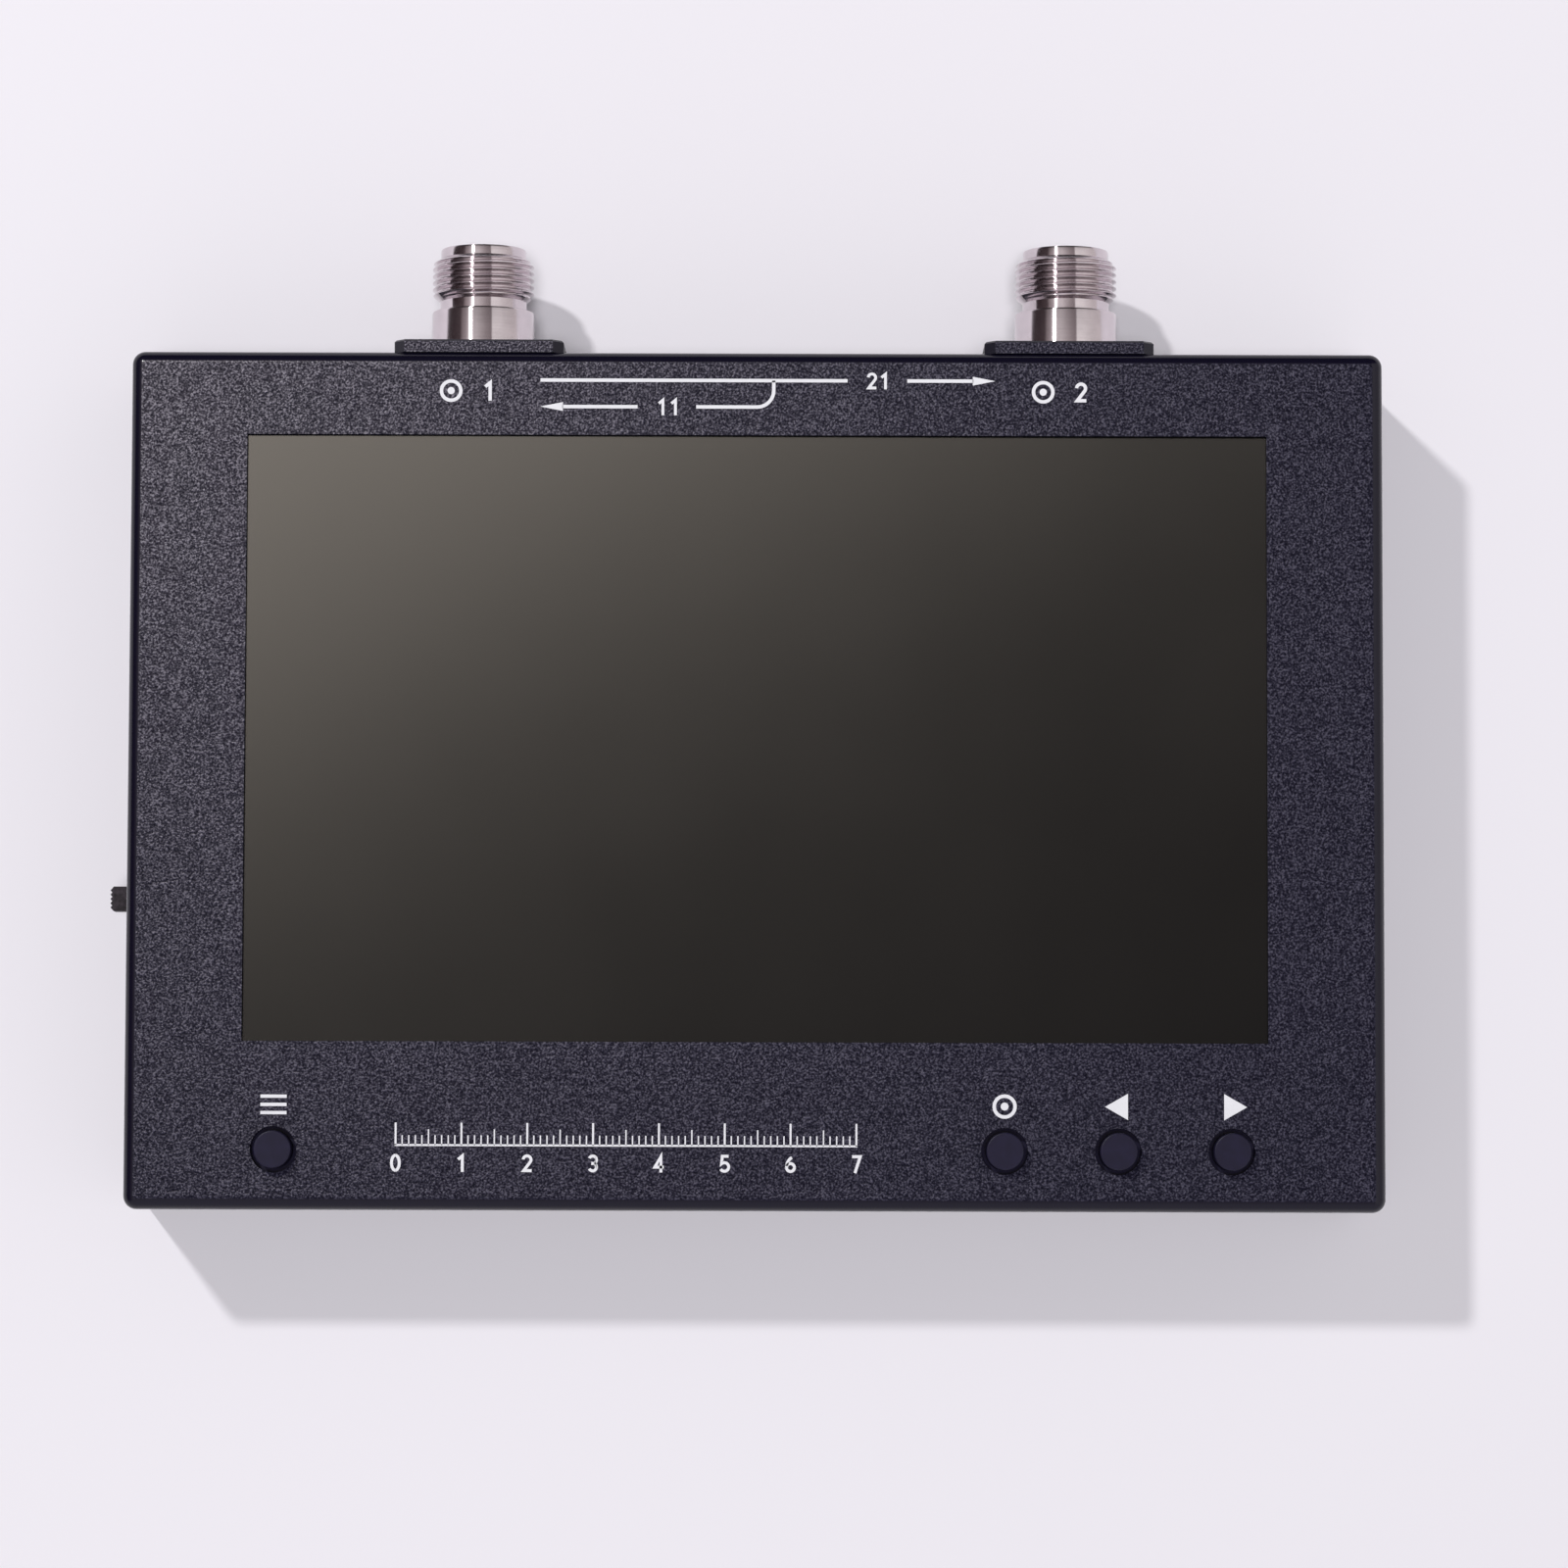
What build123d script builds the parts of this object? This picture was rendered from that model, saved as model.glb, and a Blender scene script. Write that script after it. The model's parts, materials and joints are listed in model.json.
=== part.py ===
from build123d import *
import os

# Handheld two-port antenna analyzer, lying on its back. All sizes in millimetres.
# Origin: centre of the back cover's flat outer face.
# +X runs to the right of the screen, +Y towards the two ports, +Z out of the screen.

# ------------------------------------------------------------------ driving dimensions
# Screen module, and the room that the housing leaves round it
SCREEN_W = 165.0
SCREEN_H = 100.0
SIDE_ROOM = 10.5
TOP_ROOM = 6.4
BOTTOM_ROOM = 19.1
WALL = 3.0
BORDER_X = 4.4          # glass hidden behind the lip, left and right
BORDER_Y = 3.5          # glass hidden behind the lip, above and below
SCREEN_GAP = 0.2        # round the module, in its pocket

# Layers, from the back of the case to its face
COVER_T = 2.0
TAPE_T = 0.3
BATTERY_T = 7.5
BATTERY_ROOM = 1.95
BOARD_T = 1.6
BOARD_ROOM = 7.55
BACKLIGHT_T = 3.5
LCD_T = 1.4
GLASS_T = 1.2
GASKET_T = 0.3
LIP_T = 0.7             # face plate left in front of the glass
FACE_T = 2.5

# Housing
EDGE_R = 2.0
BACK_EDGE_R = 1.0
INNER_R = 1.5
RIM_T = 1.5             # wall outside the back cover
COVER_GAP = 0.1
BOSS_R = 3.5
BOSS_INSET = 6.0        # cover screws, from the outside of the case
STANDOFF_R = 3.0
STANDOFF_INSET = 5.5    # board screws, from the inside of the wall
STANDOFF_Y = 32.0
LOW_STANDOFF_X = 30.0
LOW_STANDOFF_DROP = 3.9  # below the screen module
TAP_DEPTH = 6.0

# Screws: M3 countersunk in the cover, M2.5 countersunk at the ports, M2.5 and M2 pan heads inside
M3_R = 1.5
M3_HEAD_R = 2.75
M3_LENGTH = 7.0
M25_R = 1.2
M25_HEAD_R = 2.35
M25_LENGTH = 6.3
PAN_R = 2.2
PAN_T = 1.5
M2_R = 0.95
M2_PAN_R = 1.8
M2_PAN_T = 1.2
INNER_SCREW_LENGTH = 4.0
DRIVE_R = 0.95          # hexagon socket, across its corners
DRIVE_DEPTH = 1.0
HOLE_GAP = 0.25         # clearance hole, per side
TAP_GAP = 0.05          # tapped hole, per side

# Rubber feet, each seated in a shallow pocket of the cover
FOOT_R = 5.0
FOOT_STANDS = 1.0
FOOT_SUNK = 0.5
FOOT_EDGE_R = 0.4
FOOT_INSET_X = 16.0
FOOT_INSET_Y = 14.0

# Screen clamps
CLAMP_W = 10.0
CLAMP_T = 1.0
CLAMP_REACH = 6.0       # over the back of the module
CLAMP_BOSS_R = 2.5
CLAMP_BOSS_OUT = 3.1    # boss axis, from the module's edge
CLAMP_INSET = 12.5      # from the module's left and right ends

# Screen parts
LCD_INSET_X = 1.0
LCD_INSET_Y = 1.5
TRAY_INSET = 0.2
TRAY_WALL = 1.0
TRAY_FLOOR = 0.6

# Main board and what stands on it
BOARD_GAP = 2.0
BOARD_TOP_GAP = 4.25    # leaves room for the port flanges
NOTCH_GAP = 0.7
SHIELD_W = 34.0
SHIELD_H = 26.0
SHIELD_T = 4.5
SHIELD_WALL = 0.4
SHIELD_SETBACK = 5.0    # from the board's edge at the ports
CHIPS = {               # x, y, width, height, thickness
    "processor": (0.0, 12.0, 16.0, 16.0, 1.6),
    "memory_chip": (-20.0, 12.0, 12.0, 10.0, 1.2),
    "synthesizer_chip": (20.0, 12.0, 9.0, 9.0, 1.0),
}

# Battery pack, its tape, leads and plug
BATTERY_W = 110.0
BATTERY_H = 60.0
BATTERY_Y = -5.0
BATTERY_EDGE_R = 2.5
TAPE_INSET = 4.0
PLUG_W, PLUG_H, PLUG_T = 8.0, 7.0, 4.5
PLUG_X = 64.0
PLUG_ABOVE = 12.0       # plug's middle, above the battery's upper edge
LEAD_R = 0.65
LEAD_PITCH = 2.6
LEAD_X = 40.0
LEAD_BELOW_BOARD = 3.25

# Keys: a cap in the face, its plunger and the switch under it
KEY_EDGE = 9.15         # key centres, from the lower side of the case
FN_EDGE = 22.9          # from the left side
RIGHT_EDGE = 23.5       # from the right side
KEY_PITCH = 17.25
CAP_R = 2.85
CAP_STANDS = 2.3
CAP_GAP = 0.7
CAP_EDGE_R = 0.25
CAP_FLANGE_R = 4.2
CAP_FLANGE_T = 1.0
CAP_FLANGE_GAP = 0.2
CAP_SOCKET = 1.5
KEY_TRAVEL = 0.5
KEY_ROOM = 1.9          # left between the flange and the switch with the key down
PLUNGER_R = 1.5
PLUNGER_GAP = 0.1
PLUNGER_SUNK = 1.0
SWITCH_W = 6.2
SWITCH_T = 3.4
KEY_BOARD_T = 1.6
KEY_BOARD_MARGIN = 5.5  # board's upper edge, from the key centres
KEY_BOARD_GAP = 0.45
KEY_SCREW_X = 8.625
KEY_BOSS_R = 2.2
KEY_BOARD_END = 2.5     # board past its outer screws
NAV_BOARD_END = 9.0     # board past its outer keys
HEADER_W, HEADER_H = 10.0, 2.5
HEADER_ABOVE = 3.0

# Power slide switch in the left wall
SLIDE_Y = -18.0         # knob at rest
SLIDE_TRAVEL = 2.0
SLIDE_GAP = 0.3
KNOB_L = 3.8            # along its travel
KNOB_H = 3.0
KNOB_STANDS = 3.6
KNOB_CHAMFER = 0.55
KNOB_GROOVES = 4
KNOB_GROOVE = 0.4         # side of the square cut, set on its corner
STEM_L = 2.0
STEM_H = 1.6
STEM_DEEP = 2.0
SLIDE_BODY_L = 8.6
SLIDE_BODY_W = 4.0
SLIDE_BODY_T = 4.4

# USB-C charging socket in the left wall
USB_Y = -44.0
USB_W = 8.94
USB_T = 3.26
USB_L = 7.35
USB_WALL = 0.3
USB_SUNK = 0.4
USB_GAP = 0.3
USB_BACK = 1.5
TONGUE_W = 6.7
TONGUE_T = 0.7
TONGUE_L = 4.6

# Ports: N-type jacks with a 5/8-24 UNEF thread
PORT_1_X = -42.8
PORT_2_X = 48.0
PORT_PLATE_MARGIN = 1.0  # plate, from the nearer side of the case
PORT_PLATE_T = 2.0
PLATE_CHAMFER = 1.6
PLATE_EDGE = 0.3
PORT_FLANGE_GAP = 0.5
PORT_FLANGE_T = 2.0
PORT_SCREW_EDGE = 1.87
PORT_BODY_R = 7.95
PORT_HOLE_GAP = 0.15
BODY_END = 8.05         # these four distances are from the outside of the wall
THREAD_START = 10.05
PORT_LENGTH = 17.9
BODY_CHAMFER = 0.4
UNDERCUT_R = 6.75
THREAD_R = 7.9
THREAD_ROOT_R = 7.45
THREAD_PITCH = 25.4 / 24
THREAD_CRESTS = 6
CREST_W = 0.568
ROOT_W = 0.11
THREAD_LEAD = 0.45
RING_R = 6.65
MOUTH_R = 4.05
MOUTH_DEPTH = 9.1
MOUTH_CHAMFER = 0.4
INSULATOR_R = 3.5
INSULATOR_SEAT = 1.0    # metal behind the insulator
NECK_R = 2.05
NECK_OUT = 0.5
PRESS_GAP = 0.02
CONTACT_R = 1.52
CONTACT_SUNK = 4.35     # contact's tip, behind the mouth
CONTACT_BURIED = 6.0    # thick part, inside the insulator
CONTACT_BORE_R = 0.83
CONTACT_BORE = 3.6
CONTACT_SLOT = 0.3
CONTACT_SLOT_L = 3.2
PIN_R = 0.65
PIN_ON_BOARD = 3.0

# Ribbon cables from the screen to the board: x, width, connector height
RIBBON_T = 0.3
RIBBON_R = 2.5
RIBBONS = {"lcd": (-6.0, 30.0, 2.0), "touch": (38.0, 8.0, 1.6)}
RIBBON_RISE = 39.65     # where they leave the module, from its lower end
RIBBON_FLAT = 11.0
RIBBON_DROP = 7.0
RIBBON_TAIL = 8.0
RIBBON_CONNECTOR_L = 4.5
RIBBON_CONNECTOR_EXTRA = 2.0

# ------------------------------------------------------------------ worked-out dimensions
CASE_W = SCREEN_W + 2 * (SIDE_ROOM + WALL)
CASE_H = SCREEN_H + TOP_ROOM + BOTTOM_ROOM + 2 * WALL
SCREEN_Y = (BOTTOM_ROOM - TOP_ROOM) / 2
WINDOW_W = SCREEN_W - 2 * BORDER_X
WINDOW_H = SCREEN_H - 2 * BORDER_Y
SIDE_X = CASE_W / 2
PORT_SIDE_Y = CASE_H / 2
INSIDE_X = SIDE_X - WALL
INSIDE_Y = PORT_SIDE_Y - WALL

BATTERY_BACK_Z = COVER_T + TAPE_T
BOARD_BACK_Z = BATTERY_BACK_Z + BATTERY_T + BATTERY_ROOM
BOARD_Z = BOARD_BACK_Z + BOARD_T
SCREEN_BACK_Z = BOARD_Z + BOARD_ROOM
LCD_BACK_Z = SCREEN_BACK_Z + BACKLIGHT_T
GLASS_BACK_Z = LCD_BACK_Z + LCD_T
GLASS_Z = GLASS_BACK_Z + GLASS_T
LIP_BACK_Z = GLASS_Z + GASKET_T
FACE_Z = LIP_BACK_Z + LIP_T
FACE_BACK_Z = FACE_Z - FACE_T
RIBBON_START_Y = SCREEN_Y - SCREEN_H / 2 + RIBBON_RISE

KEY_Y = KEY_EDGE - PORT_SIDE_Y
RIGHT_X = SIDE_X - RIGHT_EDGE
KEY_X = {
    "fn": FN_EDGE - SIDE_X,
    "ctrl": RIGHT_X - 2 * KEY_PITCH,
    "left": RIGHT_X - KEY_PITCH,
    "right": RIGHT_X,
}
CAP_Z = FACE_Z + CAP_STANDS
CAP_FLANGE_Z = FACE_BACK_Z - CAP_FLANGE_GAP
CAP_BACK_Z = CAP_FLANGE_Z - CAP_FLANGE_T
SWITCH_Z = CAP_BACK_Z - KEY_TRAVEL - KEY_ROOM
KEY_BOARD_Z = SWITCH_Z - SWITCH_T
KEY_BOARD_BACK_Z = KEY_BOARD_Z - KEY_BOARD_T
KEY_BOARDS = {          # left end, right end
    "fn": (KEY_X["fn"] - KEY_SCREW_X - KEY_BOARD_END, KEY_X["fn"] + KEY_SCREW_X + KEY_BOARD_END),
    "nav": (KEY_X["ctrl"] - NAV_BOARD_END, KEY_X["right"] + NAV_BOARD_END),
}

PORT_X = {1: PORT_1_X, 2: PORT_2_X}
PORT_Z = BOARD_Z + PIN_R
PORT_PLATE = 2 * (min(PORT_Z, FACE_Z - PORT_Z) - PORT_PLATE_MARGIN)
PORT_FLANGE = 2 * (min(PORT_Z - COVER_T, FACE_BACK_Z - PORT_Z) - PORT_FLANGE_GAP)
PORT_SCREW = PORT_FLANGE / 2 - PORT_SCREW_EDGE
PLATE_Y = PORT_SIDE_Y + PORT_PLATE_T
FLANGE_BACK_Y = INSIDE_Y - PORT_FLANGE_T
TIP_Y = PORT_SIDE_Y + PORT_LENGTH
MOUTH_FLOOR_Y = TIP_Y - MOUTH_DEPTH
CONTACT_TIP_Y = TIP_Y - CONTACT_SUNK
BOARD_TOP_Y = INSIDE_Y - BOARD_TOP_GAP
BOARD_LOW_Y = BOARD_GAP - INSIDE_Y
BOARD_X = INSIDE_X - BOARD_GAP

SLIDE_Z = BOARD_Z + SLIDE_BODY_T / 2
KNOB_BACK_X = -INSIDE_X
USB_Z = BOARD_Z + USB_T / 2
USB_FRONT_X = USB_SUNK - SIDE_X

# ------------------------------------------------------------------ places of the screws
BOSS_X = SIDE_X - BOSS_INSET
BOSS_Y = PORT_SIDE_Y - BOSS_INSET
COVER_SCREWS = [(sx * BOSS_X, sy * BOSS_Y) for sx in (-1, 0, 1) for sy in (-1, 0, 1) if sx or sy]
STANDOFF_X = INSIDE_X - STANDOFF_INSET
LOW_STANDOFF_Y = SCREEN_Y - SCREEN_H / 2 - LOW_STANDOFF_DROP
BOARD_SCREWS = [(sx * STANDOFF_X, sy * STANDOFF_Y) for sx in (-1, 1) for sy in (-1, 1)]
BOARD_SCREWS += [(sx * LOW_STANDOFF_X, LOW_STANDOFF_Y) for sx in (-1, 1)]
CLAMP_X = SCREEN_W / 2 - CLAMP_INSET
CLAMP_BOSS_Y = SCREEN_H / 2 + CLAMP_BOSS_OUT
CLAMP_SCREWS = [(sx * CLAMP_X, sy) for sx in (-1, 1) for sy in (-1, 1)]
KEY_SCREWS = [(KEY_X["fn"] + side * KEY_SCREW_X, KEY_Y) for side in (-1, 1)]
KEY_SCREWS += [(KEY_X[key] + KEY_PITCH / 2, KEY_Y) for key in ("ctrl", "left")]


# ------------------------------------------------------------------ shapes used again and again
def block(x0, x1, y0, y1, z0, z1):
    """A box between two corners."""
    return Pos((x0 + x1) / 2, (y0 + y1) / 2, (z0 + z1) / 2) * Box(x1 - x0, y1 - y0, z1 - z0)


def plate(width, height, z0, z1, x=0.0, y=0.0, radius=0.0):
    """A flat piece in the XY plane, with rounded corners if a radius is given."""
    outline = RectangleRounded(width, height, radius) if radius else Rectangle(width, height)
    return Pos(x, y, z0) * extrude(outline, z1 - z0)


def post(x, y, radius, z0, z1):
    """A round post or hole along Z."""
    return Pos(x, y, (z0 + z1) / 2) * Cylinder(radius, z1 - z0)


def bar(x, z, radius, y0, y1):
    """A round bar or hole along Y."""
    return Pos(x, (y0 + y1) / 2, z) * Rot(90, 0, 0) * Cylinder(radius, y1 - y0)


def turned(x, z, outline):
    """A turned piece on an axis along Y, from its (radius, y) outline."""
    return Pos(x, 0, z) * revolve(make_face(Polyline(*outline, close=True)), Axis.Y)


def countersunk(head_r, shank_r, length, grow=0.0, drive=True):
    """A countersunk screw with its head's flat top at the origin, facing +Z."""
    head_t = head_r - shank_r
    head = Pos(0, 0, -head_t / 2) * Cone(shank_r + grow, head_r + grow, head_t)
    screw = head + Pos(0, 0, -length / 2) * Cylinder(shank_r, length)
    if drive:
        screw -= Pos(0, 0, -DRIVE_DEPTH) * extrude(RegularPolygon(DRIVE_R, 6), DRIVE_DEPTH)
    return screw


def pan_head(x, y, z, head_r, head_t, shank_r, length):
    """A pan head screw driven up from below, with its head's seat at height z."""
    head = post(x, y, head_r, z - head_t, z)
    head = fillet(head.edges().sort_by(Axis.Z)[0], head_t / 3)
    socket = Pos(x, y, z - head_t) * extrude(RegularPolygon(DRIVE_R, 6), head_t / 2)
    return head + post(x, y, shank_r, z, z + length) - socket


def group(shapes):
    """Separate solids that share one node."""
    return Compound([solid for shape in shapes for solid in shape.solids()])


# ------------------------------------------------------------------ housing and back cover
def front_housing():
    """Face plate and walls in one piece, with its bosses on the inside."""
    case = Pos(0, 0, FACE_Z / 2) * Box(CASE_W, CASE_H, FACE_Z)
    upper = case.faces().sort_by(Axis.Z)[-1].edges()
    case = fillet(case.edges().filter_by(Axis.Z) + upper, EDGE_R)
    case = fillet(case.faces().sort_by(Axis.Z)[0].edges(), BACK_EDGE_R)
    case -= plate(2 * INSIDE_X, 2 * INSIDE_Y, 0, FACE_BACK_Z, radius=INNER_R)
    case -= plate(CASE_W - 2 * RIM_T, CASE_H - 2 * RIM_T, 0, COVER_T, radius=INNER_R)
    for x, y in COVER_SCREWS:
        case += post(x, y, BOSS_R, COVER_T, FACE_BACK_Z)
        case -= post(x, y, M3_R + TAP_GAP, COVER_T, COVER_T + TAP_DEPTH)
    for x, y in BOARD_SCREWS:
        case += post(x, y, STANDOFF_R, BOARD_Z, FACE_BACK_Z)
        case -= post(x, y, M25_R + TAP_GAP, BOARD_Z, BOARD_Z + TAP_DEPTH)
    for x, side in CLAMP_SCREWS:
        y = SCREEN_Y + side * CLAMP_BOSS_Y
        case += post(x, y, CLAMP_BOSS_R, SCREEN_BACK_Z, FACE_BACK_Z)
        case -= post(x, y, M2_R + TAP_GAP, SCREEN_BACK_Z, SCREEN_BACK_Z + INNER_SCREW_LENGTH)
    for x, y in KEY_SCREWS:
        case += post(x, y, KEY_BOSS_R, KEY_BOARD_Z, FACE_BACK_Z)
        case -= post(x, y, M2_R + TAP_GAP, KEY_BOARD_Z, KEY_BOARD_Z + INNER_SCREW_LENGTH)
    pocket_w = SCREEN_W + 2 * SCREEN_GAP
    pocket_h = SCREEN_H + 2 * SCREEN_GAP
    case -= plate(pocket_w, pocket_h, SCREEN_BACK_Z, LIP_BACK_Z, y=SCREEN_Y)
    case -= plate(WINDOW_W, WINDOW_H, LIP_BACK_Z, FACE_Z, y=SCREEN_Y)
    for x in KEY_X.values():
        case -= post(x, KEY_Y, CAP_R + CAP_GAP, FACE_BACK_Z, FACE_Z)
    for x in PORT_X.values():
        case -= bar(x, PORT_Z, PORT_BODY_R + PORT_HOLE_GAP, INSIDE_Y, PORT_SIDE_Y)
        for sx, sz in port_screw_places(x):
            case -= bar(sx, sz, M25_R + HOLE_GAP, INSIDE_Y, PORT_SIDE_Y)
    case -= block(
        -SIDE_X, -INSIDE_X,
        SLIDE_Y - KNOB_L / 2 - SLIDE_GAP, SLIDE_Y + SLIDE_TRAVEL + KNOB_L / 2 + SLIDE_GAP,
        SLIDE_Z - KNOB_H / 2 - SLIDE_GAP, SLIDE_Z + KNOB_H / 2 + SLIDE_GAP,
    )
    case -= usb_outline(-SIDE_X, WALL, USB_GAP)
    return case


def back_cover():
    """Flat cover set into the back of the housing."""
    gap = 2 * (RIM_T + COVER_GAP)
    cover = plate(CASE_W - gap, CASE_H - gap, 0, COVER_T, radius=INNER_R)
    for x, y in COVER_SCREWS:
        cover -= post(x, y, M3_R + HOLE_GAP, 0, COVER_T)
        cover -= Pos(x, y, 0) * Rot(180, 0, 0) * countersunk(
            M3_HEAD_R, M3_R, COVER_T, grow=TAP_GAP, drive=False
        )
    for x, y in foot_places():
        cover -= post(x, y, FOOT_R + COVER_GAP, 0, FOOT_SUNK)
    return cover


def cover_screws():
    screw = Rot(180, 0, 0) * countersunk(M3_HEAD_R, M3_R, M3_LENGTH)
    return group(Pos(x, y, 0) * screw for x, y in COVER_SCREWS)


def foot_places():
    x, y = SIDE_X - FOOT_INSET_X, PORT_SIDE_Y - FOOT_INSET_Y
    return [(sx * x, sy * y) for sx in (-1, 1) for sy in (-1, 1)]


def rubber_feet():
    feet = []
    for x, y in foot_places():
        foot = post(x, y, FOOT_R, -FOOT_STANDS, FOOT_SUNK)
        feet.append(fillet(foot.edges().sort_by(Axis.Z)[0], FOOT_EDGE_R))
    return group(feet)


# ------------------------------------------------------------------ screen
def window_gasket():
    """Thin ring that seals the glass against the lip."""
    ring = plate(SCREEN_W, SCREEN_H, GLASS_Z, LIP_BACK_Z, y=SCREEN_Y)
    return ring - plate(WINDOW_W + SCREEN_GAP, WINDOW_H + SCREEN_GAP, GLASS_Z, LIP_BACK_Z, y=SCREEN_Y)


def touch_glass():
    return plate(SCREEN_W, SCREEN_H, GLASS_BACK_Z, GLASS_Z, y=SCREEN_Y)


def lcd_panel():
    width, height = SCREEN_W - 2 * LCD_INSET_X, SCREEN_H - 2 * LCD_INSET_Y
    return plate(width, height, LCD_BACK_Z, GLASS_BACK_Z, y=SCREEN_Y)


def backlight_tray():
    """Shallow metal tray behind the panel."""
    width, height = SCREEN_W - 2 * TRAY_INSET, SCREEN_H - 2 * TRAY_INSET
    return plate(width, height, SCREEN_BACK_Z, LCD_BACK_Z, y=SCREEN_Y) - light_guide()


def light_guide():
    width = SCREEN_W - 2 * (TRAY_INSET + TRAY_WALL)
    height = SCREEN_H - 2 * (TRAY_INSET + TRAY_WALL)
    return plate(width, height, SCREEN_BACK_Z + TRAY_FLOOR, LCD_BACK_Z, y=SCREEN_Y)


def screen_clamps():
    """Four tabs that press on the back of the module."""
    clamps = []
    for x, side in CLAMP_SCREWS:
        ends = sorted((side * (SCREEN_H / 2 - CLAMP_REACH), side * (CLAMP_BOSS_Y + CLAMP_BOSS_R)))
        clamp = block(
            x - CLAMP_W / 2, x + CLAMP_W / 2,
            SCREEN_Y + ends[0], SCREEN_Y + ends[1],
            SCREEN_BACK_Z - CLAMP_T, SCREEN_BACK_Z,
        )
        y = SCREEN_Y + side * CLAMP_BOSS_Y
        clamps.append(clamp - post(x, y, M2_R + HOLE_GAP, SCREEN_BACK_Z - CLAMP_T, SCREEN_BACK_Z))
    return group(clamps)


def clamp_screws():
    seat = SCREEN_BACK_Z - CLAMP_T
    return group(
        pan_head(x, SCREEN_Y + side * CLAMP_BOSS_Y, seat, M2_PAN_R, M2_PAN_T, M2_R, INNER_SCREW_LENGTH)
        for x, side in CLAMP_SCREWS
    )


def ribbon_end_y():
    return RIBBON_START_Y - RIBBON_FLAT - RIBBON_DROP - RIBBON_TAIL


def ribbon(name):
    """Flat cable that leaves the back of the screen and drops to its connector."""
    x, width, connector_t = RIBBONS[name]
    high = SCREEN_BACK_Z - RIBBON_T / 2
    low = BOARD_Z + connector_t / 2
    route = FilletPolyline(
        (x, RIBBON_START_Y, high),
        (x, RIBBON_START_Y - RIBBON_FLAT, high),
        (x, RIBBON_START_Y - RIBBON_FLAT - RIBBON_DROP, low),
        (x, ribbon_end_y(), low),
        radius=[RIBBON_R, RIBBON_R],
    )
    section = Plane(origin=route @ 0, x_dir=(1, 0, 0), z_dir=route % 0)
    return sweep(section * Rectangle(width, RIBBON_T), route)


def ribbon_connector(name):
    x, width, connector_t = RIBBONS[name]
    half = width / 2 + RIBBON_CONNECTOR_EXTRA
    end = ribbon_end_y()
    return block(x - half, x + half, end - RIBBON_CONNECTOR_L, end, BOARD_Z, BOARD_Z + connector_t)


# ------------------------------------------------------------------ main board
def main_board():
    board = block(-BOARD_X, BOARD_X, BOARD_LOW_Y, BOARD_TOP_Y, BOARD_BACK_Z, BOARD_Z)
    for x, y in COVER_SCREWS:
        board -= post(x, y, BOSS_R + NOTCH_GAP, BOARD_BACK_Z, BOARD_Z)
    for x, y in BOARD_SCREWS:
        board -= post(x, y, M25_R + HOLE_GAP, BOARD_BACK_Z, BOARD_Z)
    return board


def board_screws():
    return group(
        pan_head(x, y, BOARD_BACK_Z, PAN_R, PAN_T, M25_R, BOARD_T + INNER_SCREW_LENGTH)
        for x, y in BOARD_SCREWS
    )


def rf_shield(x):
    """Metal can, open towards the board."""
    top = BOARD_TOP_Y - SHIELD_SETBACK
    half = SHIELD_W / 2
    can = block(x - half, x + half, top - SHIELD_H, top, BOARD_Z, BOARD_Z + SHIELD_T)
    wall = SHIELD_WALL
    return can - block(
        x - half + wall, x + half - wall, top - SHIELD_H + wall, top - wall,
        BOARD_Z, BOARD_Z + SHIELD_T - wall,
    )


def chip(name):
    x, y, width, height, thickness = CHIPS[name]
    return plate(width, height, BOARD_Z, BOARD_Z + thickness, x, y)


# ------------------------------------------------------------------ battery
def battery_pack():
    battery = plate(
        BATTERY_W, BATTERY_H, BATTERY_BACK_Z, BATTERY_BACK_Z + BATTERY_T, y=BATTERY_Y
    )
    return fillet(battery.edges().filter_by(Axis.X), BATTERY_EDGE_R)


def battery_tape():
    width, height = BATTERY_W - 2 * TAPE_INSET, BATTERY_H - 2 * TAPE_INSET
    return plate(width, height, COVER_T, BATTERY_BACK_Z, y=BATTERY_Y)


def plug_y():
    return BATTERY_Y + BATTERY_H / 2 + PLUG_ABOVE


def battery_plug():
    return plate(PLUG_W, PLUG_H, BOARD_BACK_Z - PLUG_T, BOARD_BACK_Z, PLUG_X, plug_y())


def battery_leads():
    """Two wires, from the battery's upper edge to the plug."""
    z = BOARD_BACK_Z - LEAD_BELOW_BOARD
    start_y = BATTERY_Y + BATTERY_H / 2
    leads = []
    for side in (-1, 1):
        x = LEAD_X - side * LEAD_PITCH / 2
        y = plug_y() + side * LEAD_PITCH / 2
        route = FilletPolyline(
            (x, start_y, z), (x, y, z), (PLUG_X - PLUG_W / 2, y, z), radius=0.45 * (y - start_y)
        )
        leads.append(sweep(Plane(origin=route @ 0, z_dir=route % 0) * Circle(LEAD_R), route))
    return group(leads)


# ------------------------------------------------------------------ keys
def key_cap(x):
    """Round cap, kept in by a flange behind the face plate."""
    top = post(x, KEY_Y, CAP_R, CAP_FLANGE_Z, CAP_Z)
    top = fillet(top.edges().sort_by(Axis.Z)[-1], CAP_EDGE_R)
    cap = top + post(x, KEY_Y, CAP_FLANGE_R, CAP_BACK_Z, CAP_FLANGE_Z)
    return cap - post(x, KEY_Y, PLUNGER_R + PLUNGER_GAP, CAP_BACK_Z, CAP_BACK_Z + CAP_SOCKET)


def key_plunger(x):
    return post(x, KEY_Y, PLUNGER_R, SWITCH_Z - PLUNGER_SUNK, CAP_BACK_Z + CAP_SOCKET)


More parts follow.
